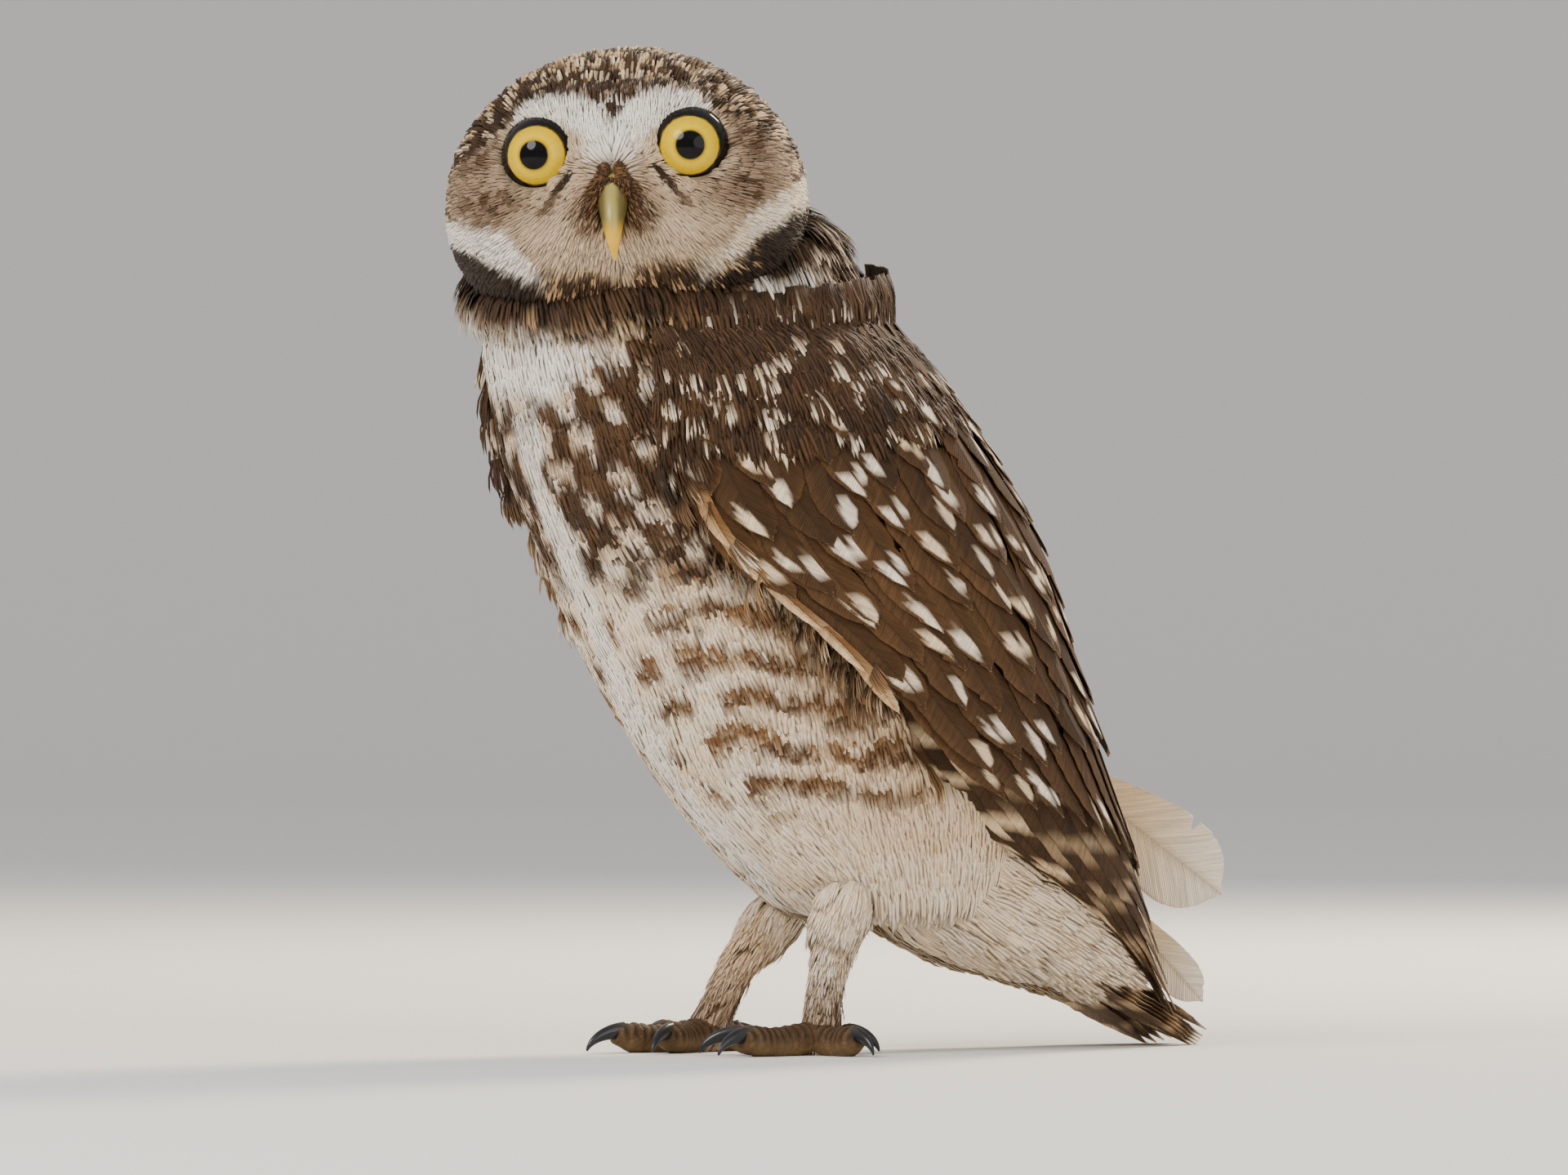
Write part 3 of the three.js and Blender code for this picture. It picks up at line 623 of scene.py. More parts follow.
def body_marks(z, degrees, u, v, p, chance):
    """The colour of a body feather: its root's z and degrees, along, across, the point and its chance."""
    wander = ripple(p, 7.0, 1.0)
    place_z = p[..., 2] + (chance - 0.5) * 2.6 + wander * 1.4
    turn = degrees + v * 4.5
    left = np.abs(turn)
    side = left + ripple(p, 9.0, 2.0) * 3
    # Low down the belly is pale with broken brown bars, which close up towards the wings.
    bar, gate = bars(place_z, turn, 8.3, 21.0, 1.0)
    close = lerp(0.12, -1.1, ramp(left, 14, 48))
    bar = bar * ramp(gate, close - 0.25, close + 0.3)
    ground = mix(mix(CREAM, WHITE, 0.1 + chance * 0.6), BUFF, 0.08 + ramp(left, 35, 75) * 0.45)
    paint = mix(ground, mix(RUFOUS, BROWN, 0.35 + 0.65 * chance), bar * ramp(p[..., 2] + wander * 5, 44, 54))
    # The breast's sides are brown with pale spots.
    spot, where = bars(place_z + 2, turn, 6.4, 17.0, 4.0)
    spot = spot * ramp(where, -0.05, 0.3) * ramp(u, 0.3, 0.5)
    spotted = mix(mix(BROWN, DARK, chance * 0.8), mix(BUFF, WHITE, 0.25 + 0.5 * chance), spot * 0.92)
    high = p[..., 2] + (chance - 0.5) * 4 + wander * 2
    paint = mix(paint, spotted, ramp(high, 86, 100) * (0.35 + 0.65 * ramp(high + chance * 8, 96, 104)))
    # The plain lower belly and vent, and the white line down the middle.
    plain = mix(mix(CREAM, BUFF, 0.25), WHITE, 0.2 + 0.4 * chance)
    paint = mix(paint, plain, ramp(-z + wander * 3, -50, -42))
    line = lerp(9.0, 4.6, ramp(z, 66, 92))
    middle = ramp(line - side, -2.5, 1.5)
    paint = mix(paint, WHITE, middle * ramp(-z, -140, -126) * (0.75 + 0.25 * chance))
    # The white throat patch, wider at its top.
    reach = lerp(19.0, 40.0, ramp(high, 130, 147))
    foot = 149.5 - 4.0 * ramp(turn, -28, 8)
    throat = ramp(high, 128, 133) * ramp(foot - high, -1, 2) * ramp(reach - side, -4, 4)
    paint = mix(paint, WHITE, throat)
    # The collar over it: a buff fringe, then near-black, with loose buff feathers.
    streak = ramp(u, 0.45, 0.75) * ramp(-np.abs(v), -0.7, -0.3) * (chance > 0.78)
    fringe = mix(mix(BROWN, RUFOUS, 0.5), CREAM, ramp(u + chance, 0.9, 1.7) * 0.85)
    paint = mix(paint, fringe, ramp(high - foot, -4.5, -1.5) * ramp(-left, -92, -80) * 0.85)
    near_front = ramp(-turn, -30, 0)
    collar = mix(mix(BROWN, DARK, 0.3 + chance), BLACK, 0.4 * near_front)
    collar = mix(collar, BUFF, streak * 0.8 * (1 - 0.8 * near_front))
    paint = mix(paint, collar, ramp(high - foot, -1, 2))
    # Behind it the side of the neck is streaked whitish, and the nape brown with buff spots.
    stripe = ramp(-np.abs(v), -0.85, -0.4) * ramp(u, 0.3, 0.6)
    pale = mix(mix(BROWN, DARK, chance), mix(BUFF, WHITE, 0.6 * chance), stripe)
    patch = ramp(left, 76, 86) * ramp(-left, -122, -112) * ramp(high, 138, 143) * ramp(-high, -158, -154)
    spots = ramp(u, 0.5, 0.7) * (chance > 0.4) * ramp(-np.abs(v), -0.75, -0.35)
    back = mix(mix(DARK, BROWN, chance), mix(BUFF, WHITE, 0.4), spots)
    rear = ramp(left, 72, 88) * ramp(z + 60 * ramp(left, 140, 158), 92, 112)
    paint = mix(paint, back, rear * ramp(-(z - 155) * (left < 105), -4, 0))
    return mix(paint, mix(pale, WHITE, 0.75 * (chance > 0.35)), patch)


def brow_top(side):
    """How far over the eyes the white brows reach: nearly level, then steeply down past the eyes."""
    return 11.0 - 0.2 * np.maximum(side - 15.5, 0) ** 2


def face_top(side):
    return np.maximum(10.0 - 0.016 * np.maximum(side - 6, 0) ** 2, brow_top(side))


def head_marks(q, u, v, chance, streaks):
    """The colour of a head feather, from a place in the head's frame."""
    x, y, z = np.moveaxis(q, -1, 0)
    side = np.abs(x)
    edge = ripple(q, 6.0, 3.0) * 1.2
    front = ramp(-y, 2, 9)
    over = z - EYE_Z
    # The crown and nape: each feather dark with a pale streak down its middle.
    shaft = ramp(-np.abs(v), -0.8, -0.3) * ramp(u, 0.15, 0.35) * ramp(-u, -1.0, -0.86)
    around = np.arctan2(x, z - EYE_Z + 8)
    lit = 0.5 + 0.5 * np.sin(around * 46 + 5 * ripple(q, 7.0, 9.0))
    shaft = shaft * ramp(0.55 * lit + 0.6 * streaks, 0.5, 0.6)
    paint = mix(mix(BROWN, DARK, 0.3 + 0.7 * chance), mix(BUFF, CREAM, chance), shaft * 0.92)
    # The grey-buff face, paler round the eyes, with brown streaks outside them.
    near = np.hypot(side - EYE_X, over)
    patch = np.maximum(bump(side - 28, z - 12, 7, 7), 1.15 * bump(side - 25, z - 1.5, 8, 4.5))
    face = mix(GREY_BUFF, CREAM, 0.1 * chance + 0.3 * ramp(-near, -11, -8))
    face = mix(face, mix(BROWN, DARK, 0.35 * chance), patch * (0.6 + 0.4 * (streaks > 0.42)))
    top = face_top(side)
    on_face = front * ramp(top - over + edge, -0.8, 0.8) * ramp(-side, -36, -32)
    paint = mix(paint, face, on_face)
    # The pale lower face and the brown bristly ground about the bill.
    lower = bump(side - 6, z + 9, 13, 8)
    paint = mix(paint, mix(mix(GREY_BUFF, CREAM, 0.4), WHITE, 0.12 * chance), lower * front)
    beard = np.maximum(bump(side, over + 5.8, 2.9, 3.2), bump(side - 4.5, over + 12.0, 5.2, 4.6))
    paint = mix(paint, mix(BROWN, RUFOUS, 0.3 + 0.5 * chance), ramp(beard, 0.15, 1.0) * front * 0.8)
    # Beside the bill a dark patch, partly the dark lore feathers and partly painted shade.
    lores_and_painted_shade = bump(side - 6.2, over + 12.0, 3.0, 3.2)
    paint = mix(paint, mix(DARK, BLACK, 0.2), ramp(lores_and_painted_shade, 0.25, 1.0) * front * 0.85)
    # Whitish between the eyes, and the white brows over them.
    bridge = ramp(bump(side, over - 3, 7.5, 7.0), 0.25, 0.7)
    bridge = bridge * (1 - 0.9 * ramp(bump(side, over + 6.5, 3.4, 4.0), 0.3, 0.7))
    paint = mix(paint, mix(CREAM, WHITE, 0.75), bridge * front)
    under = 5.6 - bell(side, 7) * 7 + 0.9 * bell(side - 20, 4)
    brow = ramp(over + edge * 0.5, under - 0.8, under + 0.8) * ramp(brow_top(side) - over - edge, -0.7, 0.7)
    paint = mix(paint, WHITE, brow * ramp(-side, -23.5, -20) * front)
    border = bell(over - top - 1.5, 1.5) * ramp(-side, -30, -24)
    paint = mix(paint, mix(DARK, BLACK, 0.3 * chance), border * front * (0.35 + 0.6 * (streaks > 0.45)))
    reach = 0.5 + 0.115 * np.maximum(over - 3.5, 0) ** 2
    wedge = ramp(reach - side + edge * 0.8, -0.7, 0.9) * ramp(over, 3.5, 6.0) * ramp(-over, -14, -12)
    wedge = wedge * front * (0.35 + 0.65 * (streaks > 0.38))
    paint = mix(paint, mix(BROWN, DARK, 0.2 + 0.8 * chance), wedge)
    # Under the cheeks a white crescent, broader on the side the head is turned from, then the dark collar.
    turned = ramp(x, -3, 3)
    outer_top = -1.5 - 0.17 * (31 - side) - 1.3 * np.maximum(22 - side, 0)
    white_top = lerp(outer_top, -0.7 - 0.8 * (30 - side), turned)
    dark_top = lerp(-6.2 - 0.5 * (33 - side), -6.5 - 0.66 * (30 - side), turned)
    white = ramp(white_top - z + edge, -0.8, 0.8) * ramp(-y, -10, -4) * ramp(side, 8, 12)
    paint = mix(paint, mix(WHITE, CREAM, turned * (0.35 + 0.5 * chance)), white)
    dark = ramp(dark_top - z + edge * 0.7, -0.9, 0.9) * ramp(side, 6, 14) * ramp(-y, -26, -14)
    loose = (chance > 0.72) * (side < np.where(x > 0, 26, 17))
    paint = mix(paint, mix(mix(DARK, BLACK, 0.55 - 0.9 * chance * streaks), BUFF, loose * 0.7), dark)
    low = z + 11.5 + 4.5 * bell(side, 4)
    messy = ramp(-low + edge * 1.5, -1.5, 1.5) * ramp(-side, -19, -13) * ramp(-y, 4, 12)
    tip = (chance > 0.66) * 0.75 * ramp(u, 0.3, 0.7)
    paint = mix(paint, mix(mix(BROWN, DARK, streaks), BUFF, tip), messy)
    # The line from the eye's inner corner, down and outward.
    tx = side - (EYE_X - 6.2)
    line = bell(over + 2.9 + tx * 1.5, 0.9) * ramp(tx, -0.5, 0.5) * ramp(-tx, -7, -4.5)
    return mix(paint, DARK, line * front * 0.85)


# The head's feathers


def off_eye(q):
    return np.hypot(np.abs(q[:, 0]) - EYE_X - 0.9, q[:, 2] - EYE_Z)


def head_lie(q, normal):
    """Feathers run out from the bill over the face, up over the brows, and back over the crown."""
    x, y, z = q.T
    radial = unit(q - np.array([0.0, -FACE - 4, EYE_Z - 6]))
    eyes = np.zeros_like(q)
    for side in (1, -1):
        off = q - eye_middle(side)
        off[:, 1] = 0
        near = bell(np.linalg.norm(off, axis=1), 13) * (y < 0)
        eyes += unit(off) * near[:, None] * 1.5
    down = np.array([0, 0, -1.0]) * ramp(y, -4, 20)[:, None] * 1.6
    beard = stack(np.sign(x) * 0.35, 0, -1.0) * (bump(x, z - EYE_Z + 14, 7, 8) * (y < 0))[:, None] * 2
    chin = np.array([0, 0.5, -1.0]) * ramp(-z, 8, 16)[:, None]
    return tangent(radial + np.array([0, 1.0, -0.1]) * 0.7 + eyes + down + beard + chin, normal)


def head_feathers(region, rows, spacing, *looks):
    """The head's short feathers, closer and finer on the face, longer where they hang over the collar."""
    t, degrees = rows_on(head_local, 0.01, 0.95, rows, spacing).T
    q = head_local(t, degrees)
    x, y, z = q.T
    crown = (y > -2.5) | (z - EYE_Z > face_top(np.abs(x)) + 0.6)
    crown &= (z > -7) | (y > 8)
    keep = crown if region == "crown" else ~crown
    keep &= (off_eye(q) > EYE_OPENING + np.where(z > EYE_Z + 1, -1.1, -0.45)) | (y > 0)
    keep &= ~inside_body(from_head(q), np.where(y > 5, 0.2, 0.1))
    keep &= np.hypot(x / 2.6, (z - EYE_Z + 12) / 4.5) + (y > 0) * 9 > 1
    dress_head(region, q[keep], t[keep], degrees[keep], *looks)


def dress_head(region, q, t, degrees, pieces, blades, long, broad, fat, loose):
    normal = head_normal(t, degrees)
    depth = lerp(COAT, FACE_COAT, ramp(-q[:, 1], 0, 14))
    lie = head_lie(q, normal)
    short = ramp(np.where(q[:, 1] < 0, off_eye(q), 30), 7.5, 15)
    hang = ramp(-q[:, 2], 5, 15)
    length = lerp(4.4, long, short) * rng.uniform(0.85, 1.15, len(q)) * (1 + 0.8 * hang)
    half = lerp(0.95, broad, short)
    radius = lerp(32.0, 110.0, hang)
    chance = chances(len(q))
    streaks = chances(len(q)) * 0.6 + 0.4 * (0.5 + 0.5 * ripple(q, 2.6, 5.0))
    root, out, run = from_head(q - normal * depth[:, None]), aimed(normal), aimed(lie)
    uv = map_round(degrees, t)
    for n, part in enumerate(np.array_split(np.argsort(q[:, 1], kind="stable"), pieces)):

        def paint(u, v, which, points, part=part):
            k = part[which]
            return head_marks(q[k] + lie[k] * (u * length[k])[..., None] * 0.75, u, v, chance[k], streaks[k])

        make_tufts(f"{region}_feathers_{n}", root[part], out[part], run[part], length[part], half[part],
                   blades, paint, uv[part], radius=radius[part], rise=depth[part][:, None, None] * 0.95,
                   fan=0.6, fat=fat, loose=loose)


# The body's feathers


def under_wing(z, degrees):
    lead = along(LEADING_EDGE, z)[:, 0]
    return (np.abs(degrees) > lead + 13) & (z < 130) & (z > 56) & (np.abs(degrees) < 158)


def body_feathers():
    """The feathers of breast, belly, back of the neck and collar."""
    z, degrees = np.concatenate([rows_on(on_body, *rows) for rows in BODY_ROWS]).T
    # Rows past the form's top close in over it, under the back of the head.
    cap = np.clip((z - 171.5) / 11, 0, 1)[:, None]
    middle = (on_body(z, 0 * z) + on_body(z, 0 * z + 180)) / 2
    p = lerp(on_body(z, degrees), middle, cap)
    p[:, 2] = np.minimum(p[:, 2], 171.8 + 0.6 * cap[:, 0])
    keep = ~under_wing(z, degrees) & ~inside_head(p, np.where(z > 168, 0.08, 0.12))
    z, degrees, p, cap = z[keep], degrees[keep], p[keep], cap[keep]
    normal = unit(body_normal(z, degrees) * (1 - cap) + np.array([0, 0, 1.5]) * ramp(cap, 0.0, 0.15))
    aside = np.sign(degrees) * 0.16 * ramp(np.abs(degrees), 0, 25) + ripple(p, 14, 6.0) * 0.22
    lie = tangent(stack(aside, 0.32, -1.0), normal)
    # Between the wings the back's feathers stand up to the wings' inner edges.
    between = ramp(np.abs(degrees), 150, 162) * ramp(z, 52, 64) * ramp(-z, -136, -122)
    root = p + normal * (between * 5.0 - COAT)[:, None]
    chance = chances(len(z))
    length = lerp(15.0, 11.5, ramp(z, 60, 120)) * rng.uniform(0.85, 1.15, len(z)) * (1 + 0.4 * between)
    uv = map_round(degrees, (z - 28) / 142)
    loose = 0.035 + 0.05 * ramp(z, 138, 148)
    for n, part in enumerate(np.array_split(np.argsort(z, kind="stable"), 4)):

        def paint(u, v, which, points, part=part):
            k = part[which]
            return body_marks(z[k], degrees[k], u, v, points, chance[k])

        make_tufts(f"body_feathers_{n}", root[part], normal[part], lie[part], length[part], 3.3, 11, paint,
                   uv[part], radius=45.0, rise=COAT * 0.9, fan=0.45, fat=0.1,
                   loose=loose[part][:, None, None], tip_rise=0.25)


# The skin under the coat


def make_skin():
    zz, aa = grid(np.linspace(30.5, 172, 90), np.linspace(-180, 180, 96, endpoint=False))
    torso = on_form(BODY, zz, aa, -COAT)
    tt, hh = grid(np.linspace(0.004, 0.996, 90), aa[0])
    facing = ramp(-head_local(tt, hh)[..., 1], 0, 14)
    head = from_head(head_local(tt, hh, -lerp(COAT, FACE_COAT, facing)))
    shins = [limb([(leg["shin"][0], 5.6, 7.0), (leg["shin"][1], 3.0, 3.6)])[0] for leg in LEGS.values()]
    points, faces = join([closed_grid(form) for form in (torso, head, *shins)])
    made = piece("skin", points, faces, SKIN)
    modifier = made.modifiers.new("join", "REMESH")
    modifier.mode = "VOXEL"
    modifier.voxel_size = SKIN_VOXEL / 1000
    smooth = made.modifiers.new("smooth", "CORRECTIVE_SMOOTH")
    smooth.iterations = 4
    smooth.use_only_smooth = True
    bpy.context.view_layer.update()
    mesh = bpy.data.meshes.new_from_object(made.evaluated_get(bpy.context.evaluated_depsgraph_get()))
    made.modifiers.clear()
    made.data = mesh
    mesh.materials.clear()
    mesh.materials.append(SKIN)
    co = np.empty(len(mesh.vertices) * 3, np.float32)
    mesh.vertices.foreach_get("co", co)
    p = co.reshape(-1, 3) * 1000.0 + ORIGIN
    on_head = inside_head(p, -0.12) & ~inside_body(p, 0.1)
    front, back, _ = np.moveaxis(along(BODY, p[:, 2]), -1, 0)
    degrees = np.degrees(np.arctan2(p[:, 0], (front + back) / 2 - p[:, 1]))
    chance = np.full(len(p), 0.5)
    flat = np.zeros(len(p))
    body = body_marks(p[:, 2], degrees, flat + 0.5, flat, p, chance)
    head = head_marks(to_head(p), flat + 0.6, flat, chance, chance)
    # The skin takes the marks of the feathers over it, painted darker as painted shade under them.
    set_marks(mesh, np.where(on_head[:, None], head, body) * SKIN_PAINTED_SHADE)
    set_smooth(mesh)
    unwrap(mesh, p)
    return made


def join(forms):
    """Several forms of points and faces as one."""
    offset = np.cumsum([0] + [len(points) for points, _ in forms[:-1]])
    return np.concatenate([f[0] for f in forms]), np.concatenate([f[1] + k for f, k in zip(forms, offset)])


def unwrap(mesh, p):
    """A map round the upright axis, in height, that the bake can use."""
    loops = np.empty(len(mesh.loops), np.int32)
    mesh.loops.foreach_get("vertex_index", loops)
    sizes = np.empty(len(mesh.polygons), np.int32)
    mesh.polygons.foreach_get("loop_total", sizes)
    turn = np.arctan2(p[:, 0], 10 - p[:, 1]) / (2 * np.pi) + 0.5
    u = turn[loops]
    face = np.repeat(np.arange(len(sizes)), sizes)
    most = np.zeros(len(sizes))
    np.maximum.at(most, face, u)
    u = np.where((most[face] - u) > 0.5, u + 1, u) / 1.05
    height = (p[:, 2] - p[:, 2].min()) / np.ptp(p[:, 2])
    set_map(mesh, np.stack([u, height[loops]], 1))


# Wing feathers


def wing_surface(s, t):
    z_lead = lerp(WING_TOP, WING_TIP, s)
    z_back = lerp(BACK_TOP, WING_TIP + 3, s)
    lead = along(LEADING_EDGE, z_lead)[..., 0]
    return on_form(FIGURE, lerp(z_lead, z_back, t), lerp(lead, MID_BACK, t))


def wing_point(s, t, out):
    step = 0.01
    downward = wing_surface(s + step, t) - wing_surface(s - step, t)
    backward = wing_surface(s, t + step) - wing_surface(s, t - step)
    return wing_surface(s, t) - unit(np.cross(backward, downward)) * np.asarray(out)[..., None]


# How wide a feather is along its length, and where its points lie across it.
VANE = np.array([[0, 0.45], [0.35, 0.85], [0.65, 1], [0.85, 0.84], [0.96, 0.45], [1, 0.1]])
ROUND = np.array([[0, 0.5], [0.3, 0.8], [0.6, 1], [0.82, 0.92], [0.94, 0.62], [1, 0.2]])
ACROSS = np.array([-1, -0.9, -0.74, -0.56, -0.38, -0.2, -0.05, 0, 0.05, 0.2, 0.38, 0.56, 0.74, 0.9, 1.0])
MAP_CELLS = 14  # feathers along each side of the bake's map


class Vanes:
    """Feathers gathered into one piece: each is a closed plate with a shaft, notched edges and marks."""

    def __init__(self):
        self.forms, self.marks, self.barbs, self.uv = [], [], [], []

    def add(self, surface, length, half, paint, rows=26, thick=0.3, ragged=0.05, zigzag=0.035, profile=VANE):
        """surface(u, x, out) gives a point from the feather's length, its sideways place and its height."""
        u = np.concatenate([np.linspace(0, 0.9, rows - 5), [0.93, 0.955, 0.975, 0.99, 1.0]])
        uu, aa = grid(u, ACROSS)
        notch = 1 - ragged * rng.uniform(0, 1, (rows, 2)) ** 2 + zigzag * (-1.0) ** np.arange(rows)[:, None]
        for k in range(2):
            if rng.uniform() < 0.55:
                at = rng.integers(rows * 2 // 5, rows - 3)
                notch[at, k] -= rng.uniform(0.1, 0.3)
        x = aa * (half * along(profile, u)) * np.where(aa < 0, notch[:, :1], notch[:, 1:])
        far = np.abs(aa)
        u_here = np.clip(uu + 0.03 * (1 - far) * (uu > 0.9) - 0.02 * far * (uu > 0.8), 0, 1.02)
        top = surface(u_here, x, bell(aa, 0.05) * 0.16 * (1 - uu * 0.7))
        under = surface(u_here, x, -thick * (1 - 0.75 * far**3))
        columns = len(ACROSS)
        quads = grid_faces(rows, columns)
        index = np.arange(rows * columns).reshape(rows, columns)
        rim = np.concatenate([index[0], index[1:, -1], index[-1, -2::-1], index[-2:0:-1, 0]])
        nxt = np.roll(rim, -1)
        sides = np.stack([nxt, rim, rim + index.size, nxt + index.size], 1)
        faces = np.concatenate([quads, quads[:, ::-1] + index.size, sides])
        count = len(self.forms)
        marks = paint(uu, aa, top)
        barb = stack((uu * length - np.abs(x) * 1.1) / 0.6, x * 0.12, count * 7.3)
        box = stack(count % MAP_CELLS + 0.06 + 0.88 * (aa + 1) / 2, count // MAP_CELLS + 0.06 + 0.88 * uu)
        self.forms.append((np.concatenate([top, under]).reshape(-1, 3), faces))
        # Each vane's under side gets its marks painted darker, at 0.8, as painted shade.
        self.marks += [marks, marks * 0.8]
        self.barbs += [barb, barb]
        self.uv += [box / MAP_CELLS, box / MAP_CELLS]

    def finish(self, name):
        points, faces = join(self.forms)
        return piece(name, points, faces, BARBED, *map(np.concatenate, (self.marks, self.uv, self.barbs)))


def covert_paint(tone, warm, long_by=1.0):
    """Brown with one or two pale rounded spots near the tip, no two feathers alike."""
    ground = mix(mix(BROWN, DARK, tone), RUFOUS, warm)
    pale = mix(mix(BUFF, CREAM, 0.8), WHITE, rng.uniform(0, 0.7))
    side = rng.choice([-1, 1])
    spots = []
    kind = rng.uniform()
    for share, way, *ranges in SPOT_KINDS:
        if kind < share:
            at_a, at_u, wide, long = (rng.uniform(*limits) for limits in ranges)
            spots.append((side * way * at_a, 1 - (1 - at_u) * long_by, wide, long * long_by))
    blot = rng.uniform(0, 9)

    def paint(u, a, p):
        base = mix(ground, ground * 1.5, ripple(p, 2.4, blot) * 0.5)
        base = mix(base * 0.85, base * 1.3, ramp(np.abs(a), 0.45, 1.0) * 0.7)
        shown = np.zeros_like(u)
        for at_a, at_u, wide, long in spots:
            drop = 1 + 0.35 * np.clip((at_u - u) / long, -1, 1)
            r = np.hypot((a - at_a) / wide * drop, (u - at_u) / long)
            shown = np.maximum(shown, ramp(-r, -1.1, -0.88))
        base = mix(base, pale, shown)
        base = mix(base, BUFF, ramp(u, 0.97, 1.0) * 0.35)
        return mix(base, DARK, bell(a, 0.05) * 0.7 * (1 - 0.6 * shown))

    return paint


def plain_paint(ground, tip):
    """One colour, paler to the tip."""

    def paint(u, a, p):
        base = mix(ground, tip, ramp(u, 0.2, 0.95))
        return mix(base, ground * 0.5, bell(a, 0.06) * 0.6)

    return paint


def barred_paint(chance, bars, edge, depth=0.7, ground=DARK, tip=0.0):
    """Dark with buff bars: edge is -1 or 1 for bars on one edge alone, or 0 for both."""

    def paint(u, a, p):
        wave = np.sin((u * bars + chance) * 2 * np.pi)
        reach = ramp(a * edge, 0.05, 0.35) if edge else ramp(np.abs(a), 0.12, 0.4)
        base = mix(ground, BROWN, 0.3 + ripple(p, 4.0, chance * 5) * 0.3)
        base = mix(base, mix(BUFF, CREAM, 0.3 + 0.5 * chance), ramp(wave, 0.45, 0.75) * reach * depth)
        base = mix(base, CREAM, ramp(u, 0.95, 1.0) * (0.35 + tip))
        return mix(base, DARK, bell(a, 0.05) * 0.5)

    return paint


def wing_vane(vanes, mirror, root, tip, half, level, paint, tilt=0.0, lift=0.0, curl=0.0, **sizes):
    """A feather on a wing. Root and tip are how far down and how far back on it they lie, from 0 to 1."""
    span_at = np.linspace(root[0], tip[0], 5)
    span = np.linalg.norm(wing_surface(span_at, 0.6) - wing_surface(span_at, 0.4), axis=1) * 5
    ends = wing_surface(*np.array([root, tip]).T)

    def surface(u, x, out):
        s = lerp(root[0], tip[0], u)
        t = lerp(root[1], tip[1], u) + x / np.interp(s, span_at, span)
        high = level + lift * u - tilt * x + out - 0.018 * x * x + curl * u**3
        return wing_point(s, t, high) * [mirror, 1, 1]

    vanes.add(surface, np.linalg.norm(ends[1] - ends[0]), half, paint, **sizes)


def make_wing(name, side):
    """One wing: its bed, the flight feathers, the coverts over them and its shoulder's short feathers."""
    vanes = Vanes()
    last = len(PRIMARY_TIPS) - 1
    for i, end in enumerate(PRIMARY_TIPS):
        k = i / last
        level = -4.2 - (last - i) * PRIMARY_LAYER
        paint = barred_paint(rng.uniform(), 7, -1, 0.85 if i < 4 else 0.3)
        wing_vane(vanes, side, [0.42, lerp(0.03, 0.32, k)], [end, lerp(0.04, 0.82, k)], 6.4, level, paint,
                  rows=34)
    for k in np.linspace(0, 1, 11):
        paint = covert_paint(rng.uniform(0.4, 0.9), 0.1, 0.6)
        tip = [lerp(0.66, 0.8, k), lerp(0.12, 0.96, k)]
        wing_vane(vanes, side, [0.4, lerp(0.08, 0.93, k)], tip, 5.4, -2.7, paint, tilt=0.16, rows=30)
    coverts = Vanes()
    for row, (count, start, end, front, back, half, level) in enumerate(COVERT_ROWS):
        for i in range(count):
            k = (i + 0.5 * (row % 2)) / count
            t = lerp(front, back, k) + rng.uniform(-0.014, 0.014)
            slide = rng.uniform(-0.018, 0.018)
            turn = rng.uniform(-0.035, 0.035)
            warm = 0.14 * bump(row - 5, k - 0.2, 2.2, 0.35) + 0.08 * rng.uniform()
            paint = covert_paint(rng.uniform(0.3, 1.0), warm)
            if side < 0 and t < 0.13:
                continue
            root = [max(start + slide, -0.03), t]
            wing_vane(coverts, side, root, [end + slide, t + turn], half * rng.uniform(0.95, 1.12), level,
                      paint, tilt=0.06, lift=0.75, rows=17, thick=0.35, curl=rng.uniform(0, 0.35))
    for i in range(6 if side > 0 else 0):
        start = 0.08 + 0.062 * i
        paint = plain_paint(mix(BROWN, RUFOUS, 0.7), mix(BUFF, CREAM, rng.uniform(0, 0.5)))
        wing_vane(coverts, side, [start, 0.028], [start + 0.13, 0.014], 1.9, 0.2, paint, rows=18, thick=0.4)
    # The bed that the coverts lie on, a closed plate whose faces turn over on the mirrored side.
    s, t = grid(np.linspace(-0.02, 0.56, 30), np.linspace(0.05 if side > 0 else 0.12, 1.0, 30))
    top = wing_point(s, t, lerp(-1.6, -3.4, np.clip(s, 0, 1) / 0.56))
    under = wing_point(s, t, lerp(-3.6, -5.5 - 3 * s, ramp(t, 0.05, 0.3)))
    quads = grid_faces(30, 30)
    faces = np.concatenate([quads, quads[:, ::-1] + s.size])[:, ::side]
    uv = stack(t, np.clip(s * 1.7, 0, 1))
    points = np.concatenate([top, under]) * [side, 1, 1]
    # The bed is painted the feathers' brown darkened to three quarters, as painted shade under the coverts.
    piece(f"wing_bed_{name}", points, faces, SKIN, BROWN * 0.75, np.concatenate([uv, uv]))
    flight = vanes.finish(f"flight_feathers_{name}")
    coverts.finish(f"covert_feathers_{name}")
    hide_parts(f"wing_{name}")
    shoulder(name, side)


